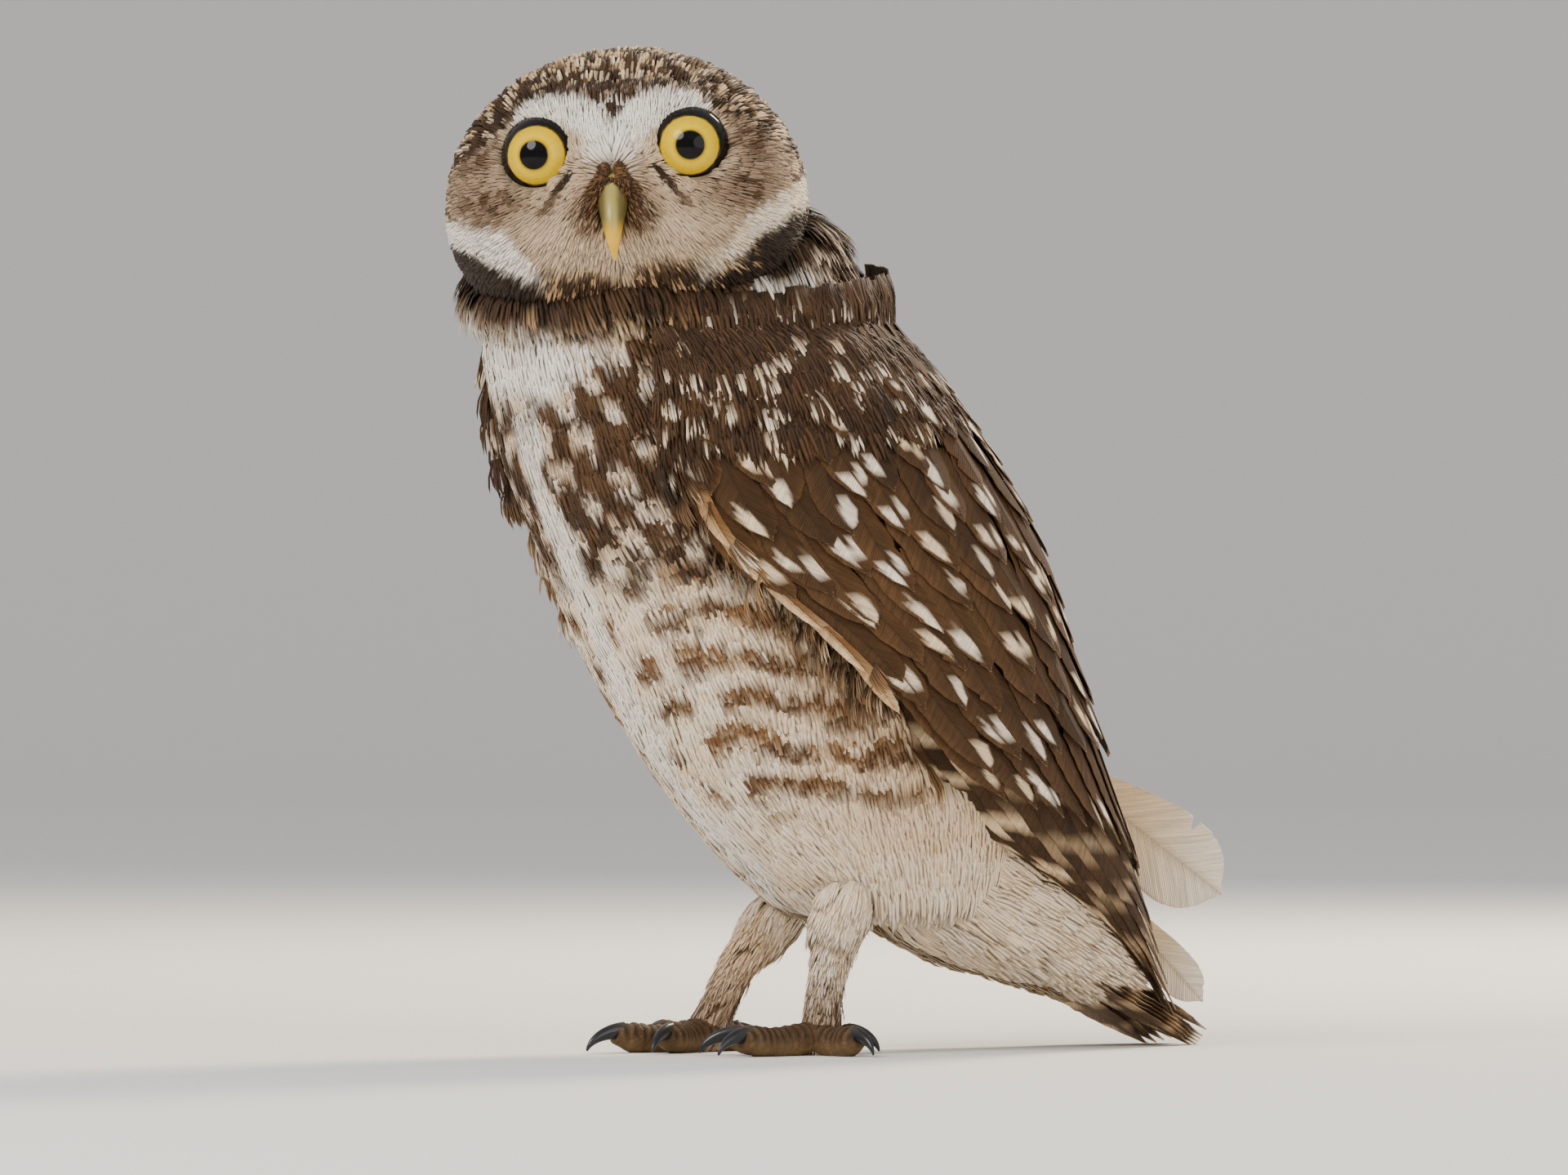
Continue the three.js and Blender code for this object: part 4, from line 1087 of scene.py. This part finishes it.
def shoulder(name, side):
    """Short dark spotted feathers over the first coverts' roots, and mottled ones on the front edge."""
    count = int(SHOULDER_TUFTS / QUICK_SHARE**2)
    bend = np.arange(count) < count * (1 if side > 0 else 2) // 5
    s = rng.uniform(-0.08, 0.5 if side > 0 else 0.62, count)
    s = np.where(bend, s, -0.1 + 0.19 * chances(count) ** 1.5)
    t = np.where(bend, rng.uniform(-0.03, 0.05, count), rng.uniform(0.03, 1.0, count))
    sunk = chances(count) * (ramp(s, 0.08, 0.2) * 0.9 if side > 0 else ramp(s, -0.1, 0.05))
    flip = np.array([side, 1, 1])
    root = wing_point(s, t, np.where(bend, -0.2 - 8.5 * sunk, -0.6)) * flip
    here = wing_surface(s, t)
    out = unit(wing_point(s, t, 1.0 + 0 * s) - here) * flip
    ahead = unit(wing_surface(s, t - 0.02) - wing_surface(s, t + 0.02)) * flip
    normal = unit(lerp(out, ahead, (bend * ramp(sunk, 0.0, 0.1))[:, None] * 0.85))
    down = unit(wing_surface(s + 0.02, t + 0.004) - here) * flip
    chance = chances(count)
    spotted = chances(count) < np.where(bend, 0.3, 0.17)
    edge = bend * ramp(s, 0.14, 0.26) * 0.75
    off = rng.uniform(-0.3, 0.3, count)

    def paint(u, v, which, points):
        c = chance[which]
        spot = ramp(-np.hypot((v - off[which]) / 0.75, (u - 0.74) / 0.25), -1.1, -0.8) * spotted[which]
        pale = mix(mix(BUFF, RUFOUS, c), GREY_BUFF, sunk[which])
        ground = mix(mix(BROWN, DARK, 0.2 + 0.8 * c), pale, edge[which] * ramp(u, 0.1, 0.8))
        return mix(ground, mix(CREAM, WHITE, 0.6 * c), spot)

    uv = np.stack([0.04 + 0.92 * np.clip(t, 0, 1), 0.1 + 1.2 * (s + 0.08)], 1)
    length = np.where(bend, rng.uniform(7, 10.5, count), rng.uniform(8.5, 12.5, count))
    make_tufts(f"shoulder_{name}", root, normal, tangent(down, normal), length, np.where(bend, 1.7, 2.9), 10,
               paint, uv, radius=45.0, rise=1.3, fan=0.5, fat=0.09, loose=0.07)


# The tail and the soft feathers about its root

FALL = np.radians(-TAIL_FALL)
TAIL_MATRIX = turning(TAIL_TURN) @ np.array(
    [[1, 0, 0], [0, np.cos(FALL), -np.sin(FALL)], [0, np.sin(FALL), np.cos(FALL)]]
)


def from_tail(points):
    return points @ TAIL_MATRIX.T + TAIL_ROOT


def make_tail():
    vanes = Vanes()
    for pair in reversed(range(TAIL_PAIRS)):
        for side in (1, -1):
            length = TAIL_LENGTH - 0.9 * pair
            level = -TAIL_LAYER * (pair + (1 if pair > 0 or side < 0 else 0))

            def surface(u, x, out, side=side, pair=pair, level=level, length=length):
                across = side * lerp(1.5 + 0.5 * pair, 3 + 0.9 * pair, u) + x
                return from_tail(stack(across, u * length, level - 0.004 * across**2 + out * 0.8))

            chance = 0.3 + rng.uniform(-0.05, 0.05)
            paint = barred_paint(chance, 5.5, 0, 0.9, ground=mix(BROWN, GREY_BUFF, 0.3), tip=0.4)
            vanes.add(surface, length, 6.0, paint, rows=34, thick=0.35)
    tail = vanes.finish("tail_feathers")
    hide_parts("tail")


def fluff(name, stations, count, rows, lengths, half, paint_under, paint_over):
    """Soft feathers on a limb in the tail's frame, with the limb's core below them."""
    ring, at = limb(stations, rows=40, columns=48, grow=-FLUFF)
    points, faces = closed_grid(from_tail(ring))
    # The core is painted a darkened cream, as painted shade under the soft feathers.
    piece(f"{name}_core", points, faces, SKIN, CREAM * 0.6)
    full = from_tail(limb(stations, rows=40, columns=48)[0])
    run = rng.uniform(*rows, int(count / QUICK_SHARE**2))
    r = (run * 39).astype(int)
    c = rng.integers(0, 48, len(r))
    root = full[r, c]
    normal = unit(root - from_tail(at[r, :3]))
    above = ramp(normal[:, 2], 0.1, 0.4)
    chance = chances(len(r))

    def paint(u, v, which, points):
        over = mix(paint_over, BUFF, ramp(u, 0.75, 0.9) * (chance[which] > 0.75))
        return mix(mix(paint_under, WHITE, 0.1 + 0.4 * chance[which]), over, above[which])

    uv = np.stack([(c + 0.5) / 48, run], 1)
    length = lerp(*lengths, run) * rng.uniform(0.85, 1.15, len(r))
    make_tufts(f"{name}_feathers", root - normal * FLUFF, normal, tangent(TAIL_MATRIX[:, 1], normal), length,
               half, 11, paint, uv, radius=80.0, rise=FLUFF, fan=0.45, fat=0.1, loose=0.035)


def make_vent():
    """The soft coverts under the tail, and the rump that fills the space between the wings and the tail."""
    creamy = mix(CREAM, BUFF, 0.2)
    fluff("tail_coverts", TAIL_COVERTS, 500, (0.2, 0.8), (15, 10), 3.2, creamy, creamy)
    fluff("rump", RUMP, 460, (0.1, 0.86), (16, 11), 3.4, creamy, mix(BROWN, DARK, 0.4))


def stray_feathers():
    """Two pale feathers that stand out behind the folded wings."""
    vanes = Vanes()
    for root, tip, half, shift in STRAYS:
        root = np.array(root, float)
        length = np.linalg.norm(tip - root)
        ahead = unit(tip - root)
        facing = np.array([np.sin(CAMERA_TURN), -np.cos(CAMERA_TURN), 0.15])
        facing = unit(facing - ahead * (facing @ ahead))
        across = np.cross(facing, ahead)

        def surface(u, x, out, root=root, axes=(ahead, across, facing), length=length, shift=shift):
            wide = x * 0.9 + shift * np.sin(np.clip(u, 0, 1) * np.pi * 0.5)
            high = out - 0.02 * wide**2 - 0.9 * u * u
            return root + stack(u * length, wide, high) @ np.array(axes)

        paint = plain_paint(mix(BUFF, CREAM, 0.5), mix(CREAM, WHITE, 0.6))
        vanes.add(surface, length, half, paint, rows=34, thick=0.25, ragged=0.02, zigzag=0.0, profile=ROUND)
    vanes.finish("stray_feathers")


# Eyes, lids and bill


def from_eye(side, ahead, across, up):
    """Points in the owl's frame from an eye's middle: ahead along its look, across it and up."""
    a = np.radians(side * EYE_OUT)
    axis = np.array([np.sin(a), -np.cos(a), 0.0])
    right = np.cross(axis, [0, 0, 1.0])
    local = axis * ahead[..., None] + right * across[..., None] + np.cross(right, axis) * up[..., None]
    return from_head(eye_middle(side) + local), local


def make_eye(name, side):
    tt, aa = grid(np.linspace(0.0, np.pi, 72), circle(80))
    tt[0], tt[-1] = 0.001, np.pi - 0.001
    off_axis = EYE_RADIUS * np.sin(tt)
    front = tt < np.pi / 2
    radius = EYE_RADIUS + 0.75 * bell(off_axis, 4.6) * front
    out = np.sin(tt) * radius
    points, local = from_eye(side, np.cos(tt) * radius, out * np.cos(aa), out * np.sin(aa))
    points, faces = closed_grid(points)
    r = off_axis + ripple(local, 0.8, 2.0) * 0.05
    fibre = np.sin(aa * 37 + np.sin(aa * 11) * 2) * 0.5 + np.sin(aa * 83 + r * 2) * 0.3
    yellow = mix(colour(226, 192, 0), colour(190, 148, 0), ramp(r, 2.9, 5.6) * 0.6 + fibre * 0.14)
    yellow = mix(yellow, colour(140, 98, 0), bell(r - 2.95, 0.3) * 0.5)
    marks = np.where((r < PUPIL)[..., None], PUPIL_BLACK, yellow)
    rim = colour(12, 9, 7)
    marks = mix(marks, rim, ramp(r, 5.6, 5.85))
    marks = np.where((front | (off_axis > 6))[..., None], marks, rim)
    marks = np.concatenate([marks.reshape(-1, 3), [PUPIL_BLACK, BLACK]])
    uv = 0.5 + 0.48 * stack(np.sin(tt / 2) * np.cos(aa), np.sin(tt / 2) * np.sin(aa))
    uv = np.concatenate([uv.reshape(-1, 2), [[0.5, 0.5], [0.98, 0.5]]])
    eye = piece(f"eye_surface_{name}", points, faces, EYE, marks, uv)
    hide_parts(f"eye_{name}")


def near_angle(a, degrees, wide):
    return bell(np.angle(np.exp(1j * (a - np.radians(degrees)))), wide)


def make_lid(name, side):
    """The lid's bare dark rim, drawn to a point at the inner lower corner and the outer upper one."""
    steps, tube = 96, 16
    a, b = grid(circle(steps), circle(tube))
    outer = near_angle(a, 90 - side * 52, 0.35) * 0.9
    inner = near_angle(a, 270 - side * 40, 0.3) * 0.9
    thick = 0.26 + 0.3 * outer + 0.28 * inner
    across = EYE_OPENING - 0.62 + 0.3 * outer + 0.3 * inner + thick * np.cos(b)
    depth = LID_DEPTH + 0.15 + thick * np.sin(b) * 0.9
    height = np.sin(a) * across * np.where(np.sin(a) > 0, 0.93, 1.0)
    points, _ = from_eye(side, depth, np.cos(a) * across, height)
    index = np.arange(steps * tube).reshape(steps, tube)
    nxt = np.roll(index, -1, 0)
    faces = np.stack([index, nxt, np.roll(nxt, -1, 1), np.roll(index, -1, 1)], -1)
    piece(f"eyelid_{name}", points, faces, SCALE, colour(20, 16, 14))


def nostrils(ring, wide):
    """1 at the two openings of the upper bill, falling off round them."""
    holes = [np.array([x, -32.4, EYE_Z - 8.9]) for x in (3.2, -3.2)]
    return sum(bell(np.linalg.norm(ring - hole, axis=-1), wide) for hole in holes)


def make_bill(name, stations):
    ring, at = limb(stations, rows=60, columns=48)
    middle = at[:, None, :3]
    off = ring - middle
    # A keel along the top and sides that draw in, so that the section is a rounded wedge.
    top = np.clip(off[..., 1:2] * -1, 0, None)
    off = off * np.array([0.8, 1, 1]) * (1 + 0.05 * top / 3)
    ring = middle + off
    upper = name == "bill_upper"
    if upper:
        ring = ring - unit(off) * nostrils(ring, 0.9)[..., None] * 0.7
    points, faces = closed_grid(from_head(ring))
    # Down its sides the bill is painted darker than along its ridge, as painted shade; lower down it is
    # yellow.
    marks = mix(colour(160, 146, 76), colour(92, 82, 36), ramp(np.abs(ring[..., 0]), 0.4, 1.9))
    low = ramp(-ring[..., 2], -(EYE_Z - 13.5), -(EYE_Z - 18.5))
    marks = mix(marks, colour(226, 174, 24), low)
    # The nostrils' openings are painted black, as painted shade in them.
    if upper:
        marks = mix(marks, BLACK, nostrils(ring, 0.75))
    marks = np.concatenate([marks.reshape(-1, 3), marks[:1, 0], marks[-1:, 0]])
    bill = piece(f"{name}_horn", points, faces, HORN, marks)
    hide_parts(name)


def on_face(x, z, wide):
    """The face's surface and its normal, at a place seen from the front."""
    t = np.arccos(np.clip(z / np.where(z > 0, CROWN, CHIN), -1, 1)) / np.pi
    degrees = np.degrees(np.arcsin(np.clip(x / wide, -1, 1)))
    return head_local(t, degrees), head_normal(t, degrees)


def face_map(x, z):
    return 0.5 + np.stack([x / 40, z / 60], 1)


def bristles():
    """Fine hair-like feathers that spring from round the bill's base, hang past it and cap its top."""
    count = int(BRISTLES / QUICK_SHARE)
    cap = np.arange(count) < count // 7
    side = np.where(chances(count) < 0.5, -1, 1)
    a = np.where(cap, rng.uniform(-0.35, 0.0, count), rng.uniform(-0.5, 0.68, count))
    out = 2.0 * chances(count)
    out = np.where(cap, out, 2.6 * ramp(a, -0.5, 0.3) + 2.4 * chances(count) ** 1.3)
    x = side * (0.1 + out * np.where(cap, 1, ramp(a, -0.9, 0.3)))
    z = EYE_Z - 7.5 - 8 * a
    root, normal = on_face(x, z, 34)
    up = np.where(cap, 0, 1.3 * ramp(-a, 0.0, 0.5))
    spread = np.where(cap, 0.15, 0.6 + 0.5 * (a < 0))
    lie = tangent(stack(side * spread, -0.2, -0.9 + up), normal)
    lie = unit(lie + normal * np.where(cap, 0.75, 0.25)[:, None])
    normal = tangent(normal, lie)
    chance = chances(count)
    low = ramp(a, 0.2, 0.8)
    far = ramp(np.abs(x), 2.6, 5.2) * 0.75

    def paint(u, v, which, points):
        c = chance[which]
        tint = mix(mix(BROWN, RUFOUS, 0.5 * c), GREY_BUFF, c**2 * ramp(low[which], 0.2, 0.9))
        tint = mix(tint, DARK, ramp(u, 0.0, 0.9) * (c < 0.5) * (0.8 - 0.6 * low[which]))
        return mix(tint, GREY_BUFF, far[which] * ramp(c, 0.1, 0.6))

    length = np.where(cap, 4.2, lerp(2.4, 5.0, ramp(a, -0.5, 0.4))) * rng.uniform(0.7, 1.1, count)
    make_tufts("bristles", from_head(root - normal), aimed(normal), aimed(lie), length, 0.5, 3, paint,
               face_map(x, z), radius=20.0, rise=1.0, fan=0.3, fat=0.08, loose=0.14)


def eye_lines():
    """Fine dark lines that run from each eye's inner corner down over the face."""
    side = np.where(np.arange(EYE_LINES) % 2 == 0, 1, -1)
    a = (np.arange(EYE_LINES) // 2) / (EYE_LINES / 2)
    x = side * (EYE_X - 6.2 + 4.4 * a + 1.4 * a * a + rng.uniform(-0.35, 0.35, EYE_LINES))
    z = EYE_Z - 3.0 - 7.8 * a + rng.uniform(-0.3, 0.3, EYE_LINES)
    root, normal = on_face(x, z, 36.5)
    lie = tangent(stack(side * 0.62, 0, -0.8), normal)
    chance = chances(EYE_LINES)

    def paint(u, v, which, points):
        return mix(DARK, mix(GREY_BUFF, BROWN, 0.6), ramp(a[which] + 0.5 * chance[which], 0.5, 1.3))

    make_tufts("eye_lines", from_head(root - normal * 0.5), aimed(normal), aimed(lie), 3.0, 0.2, 2, paint,
               face_map(x, z), radius=30.0, rise=0.4, fan=0.5, fat=0.07, loose=0.12)


# Feet and legs


def turn_foot(leg, points):
    return points @ turning(leg["turn"]).T + np.array([*leg["foot"], 0])


def toe_dir(aim):
    return np.array([np.sin(np.radians(aim)), -np.cos(np.radians(aim)), 0.0])


def on_toe(aim, reach, z):
    return toe_dir(aim) * reach + np.array([0, 0, z])


def make_foot(name, leg):
    skin, pale, grey = colour(90, 68, 45), colour(116, 92, 60), colour(50, 38, 28)
    hub, _ = limb([([0, -3, SOLE + 0.6], 4.6, 3.2), ([0, 3.5, SOLE + 0.8], 4.4, 3.4)], 24, 32)
    rings = [(hub, 0)]
    for _, aim, length, thick, _ in TOES:
        aim = aim * leg["side"]
        stations = [
            (on_toe(aim, 0, SOLE + 1), thick + 0.6, thick),
            (on_toe(aim, length * 0.5, SOLE - 0.1), thick - 0.5, SOLE + 0.3),
            (on_toe(aim, length * 0.82, SOLE + 0.5), thick - 0.1, SOLE + 0.2),
            (on_toe(aim, length, SOLE + 0.9), thick * 0.66, SOLE * 0.6),
        ]
        ring, at = limb(stations, 56, 32, toe_dir(aim + 90))
        # Scutes across the top and pads below.
        reach = (ring @ toe_dir(aim))[..., None]
        scute = np.sin(reach * 2 * np.pi / SCUTE) * 0.14 * (ring[..., 2:] > SOLE + 0.6)
        pad = np.abs(np.sin(reach * np.pi / 4.6)) * 0.25 * (ring[..., 2:] < SOLE)
        rings.append((ring + unit(ring - at[:, None, :3]) * (scute + pad), aim))
    forms, marks = [], []
    for ring, aim in rings:
        ring[..., 2] = np.maximum(ring[..., 2], 0.02)
        p, faces = closed_grid(ring)
        groove = 0.5 + 0.5 * np.sin((p @ toe_dir(aim)) * 2 * np.pi / SCUTE)
        marks.append(mix(mix(grey, skin, groove), pale, (1 - ramp(p[:, 2], 1.2, 4.2)) * 0.8))
        forms.append((turn_foot(leg, p), faces))
    points, faces = join(forms)
    foot = piece(f"toes_{name}", points, faces, SCALE, np.concatenate(marks))
    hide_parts(f"foot_{name}")
    for toe, aim, length, _, claw in TOES:
        make_claw(f"{name}_{toe}", leg, aim * leg["side"], length, claw)


def make_claw(name, leg, aim, length, claw):
    start, radius = length - 2, claw * 0.82
    drop = (SOLE + 1.3) / (1 - np.cos(np.radians(CLAW_SWEEP)))
    stations = []
    for t in np.linspace(0, 1, 9):
        a = np.radians(CLAW_SWEEP * t)
        slim = lerp(1.8, 0.22, t**1.2)
        middle = on_toe(aim, start + radius * np.sin(a), SOLE + 1.8 - drop * (1 - np.cos(a)))
        stations.append((middle, slim * 0.8, slim))
    ring, _ = limb(stations, 48, 28, toe_dir(aim + 90))
    ring[..., 2] = np.maximum(ring[..., 2], 0.02)
    points, faces = closed_grid(ring)
    t = np.concatenate([np.repeat(np.linspace(0, 1, 48), 28), [0, 1]])
    marks = mix(colour(60, 56, 54), colour(22, 23, 28), ramp(t, 0.0, 0.45))
    made = piece(f"claw_horn_{name}", turn_foot(leg, points), faces, CLAW, marks)
    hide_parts(f"claw_{name}")


def make_shank(name, leg):
    """A shank with short feathers down it, and longer loose ones from the shin over its top."""
    shin, low = leg["shin"]
    x, y = leg["foot"]
    stations = [
        (low, 3.6, 4.0),
        ([x, (y + low[1]) / 2, 17], 2.5, 2.9),
        ([x, y + 1, SHANK_END - 3.5], 3.1, 3.5),
    ]
    ring, at = limb(stations, 60, 32)
    points, faces = closed_grid(ring)
    core = piece(f"shank_skin_{name}", points, faces, SKIN, mix(GREY_BUFF, BROWN, 0.3))
    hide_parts(f"shank_{name}")
    count = int(SHANK_TUFTS / QUICK_SHARE)
    r = (chances(count) ** 0.85 * 59).astype(int)
    root, normal, lie, uv = limb_field(ring, at, r, rng.integers(0, 32, count))
    chance = chances(count)
    rear = ramp(normal[:, 1], -0.2, 0.5)

    def paint(u, v, which, points):
        low_down = ramp(-root[which][..., 2], -24, -10)
        # The right leg's feathers are painted buffier than the left's, as painted shade on the leg farther
        # from the light.
        pale = mix(mix(WHITE, CREAM, chance[which]), BUFF, 0.15 if leg["side"] > 0 else 0.6)
        dull = low_down * 0.85 + 0.15 * (chance[which] > 0.8)
        return mix(pale, mix(GREY_BUFF, BROWN, chance[which]), dull)

    length = rng.uniform(4.0, 7.0, count) * (1 + 0.35 * rear)
    make_tufts(f"shank_feathers_{name}", root, normal, lie, length, 0.8, 5, paint, uv, radius=40.0, rise=0.6,
               fan=0.5, fat=0.12, loose=0.1, tip_rise=0.25)
    count = int(TROUSER_TUFTS / QUICK_SHARE)
    hip = [shin[0], shin[1] + 5, shin[2] + 12]
    ring, at = limb([(hip, 6.5, 8.0), (shin, 6.4, 7.6), (low, 3.7, 4.3)], 40, 36)
    field = limb_field(ring, at, rng.integers(4, 40, count), rng.integers(0, 36, count))
    keep = ~inside_body(field[0], 0.02)
    root, normal, lie, uv = (column[keep] for column in field)
    loose_chance = chances(len(root))

    def trouser(u, v, which, points):
        return mix(mix(CREAM, BUFF, 0.25), WHITE, 0.2 + 0.4 * loose_chance[which])

    make_tufts(f"trousers_{name}", root, normal, lie, rng.uniform(6, 10, len(root)), 1.8, 9, trouser, uv,
               radius=60.0, rise=0.9, fan=0.4, fat=0.1, loose=0.06)


skin = make_skin()
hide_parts("head", "neck", "torso", "thigh_left", "thigh_right")
for region, looks in HEAD_REGIONS.items():
    head_feathers(region, *looks)
body_feathers()
make_wing("left", 1)
make_wing("right", -1)
make_tail()
make_vent()
stray_feathers()
for name, leg in LEGS.items():
    make_eye(name, leg["side"])
    make_lid(name, leg["side"])
make_bill("bill_upper", UPPER_BILL)
make_bill("bill_lower", LOWER_BILL)
bristles()
eye_lines()
for name, leg in LEGS.items():
    make_foot(name, leg)
for name, leg in LEGS.items():
    make_shank(name, leg)

# Stage, camera and light, in metres


def make_stage():
    """A wide round floor that rises all round, so that it is behind the owl from every side."""
    flat, bend, tall, columns = 3.6, 1.2, 2.4, 96
    profile = [(0.0004, 0.0), (flat, 0.0)]
    profile += [(flat + bend * np.sin(a), bend - bend * np.cos(a)) for a in np.linspace(0.1, np.pi / 2, 16)]
    profile += [(flat + bend, tall)]
    a = circle(columns)
    rings = [stack(r * np.sin(a), -r * np.cos(a), up) for r, up in profile]
    points = np.concatenate(rings) * 1000 + ORIGIN * np.array([1, 1, 0])
    mat, _, bsdf = new_material("paper", 0.9, 0.1)
    bsdf.inputs["Base Color"].default_value = (0.8, 0.79, 0.76, 1)
    mesh = bpy.data.meshes.new("floor")
    mesh.from_pydata(place(points).tolist(), [], grid_faces(len(profile), columns, True).tolist())
    set_smooth(mesh)
    mesh.materials.append(mat)
    floor = add_object("floor", mesh)


def look_from(made, turn, away, height):
    """Sets an object round from the camera's side, so many degrees to the right, looking at the owl."""
    middle = Vector(place(np.array([3.8, 5.4, 94.0])))
    a = CAMERA_TURN + np.radians(turn)
    offset = Vector((np.sin(a) * away, -np.cos(a) * away, height))
    made.location = middle + offset
    made.rotation_euler = (made.location - middle).to_track_quat("Z", "Y").to_euler()


def light(name, turn, height, away, size, power, tint):
    data = bpy.data.lights.new(name, "AREA")
    data.shape = "DISK"
    data.size = size
    data.energy = power
    data.color = tint
    look_from(add_object(name, data), turn, away, height)


camera = add_object("camera", bpy.data.cameras.new("camera"))
look_from(camera, 0, CAMERA_AWAY, 0)
camera.data.sensor_width = 36
camera.data.lens = 36 * CAMERA_AWAY / VIEW_WIDE
bpy.context.scene.camera = camera
make_stage()
light("key", -38, 0.95, 1.3, 0.8, 22, (1.0, 0.96, 0.9))
light("fill", 40, 0.35, 1.5, 1.2, 8, (1.0, 0.97, 0.93))
light("rim", 150, 0.75, 1.1, 0.4, 26, (1.0, 0.86, 0.66))
world = bpy.data.worlds.new("world")
world.use_nodes = True
world.node_tree.nodes["Background"].inputs["Color"].default_value = (0.97, 0.97, 1.0, 1)
world.node_tree.nodes["Background"].inputs["Strength"].default_value = 0.7
bpy.context.scene.world = world
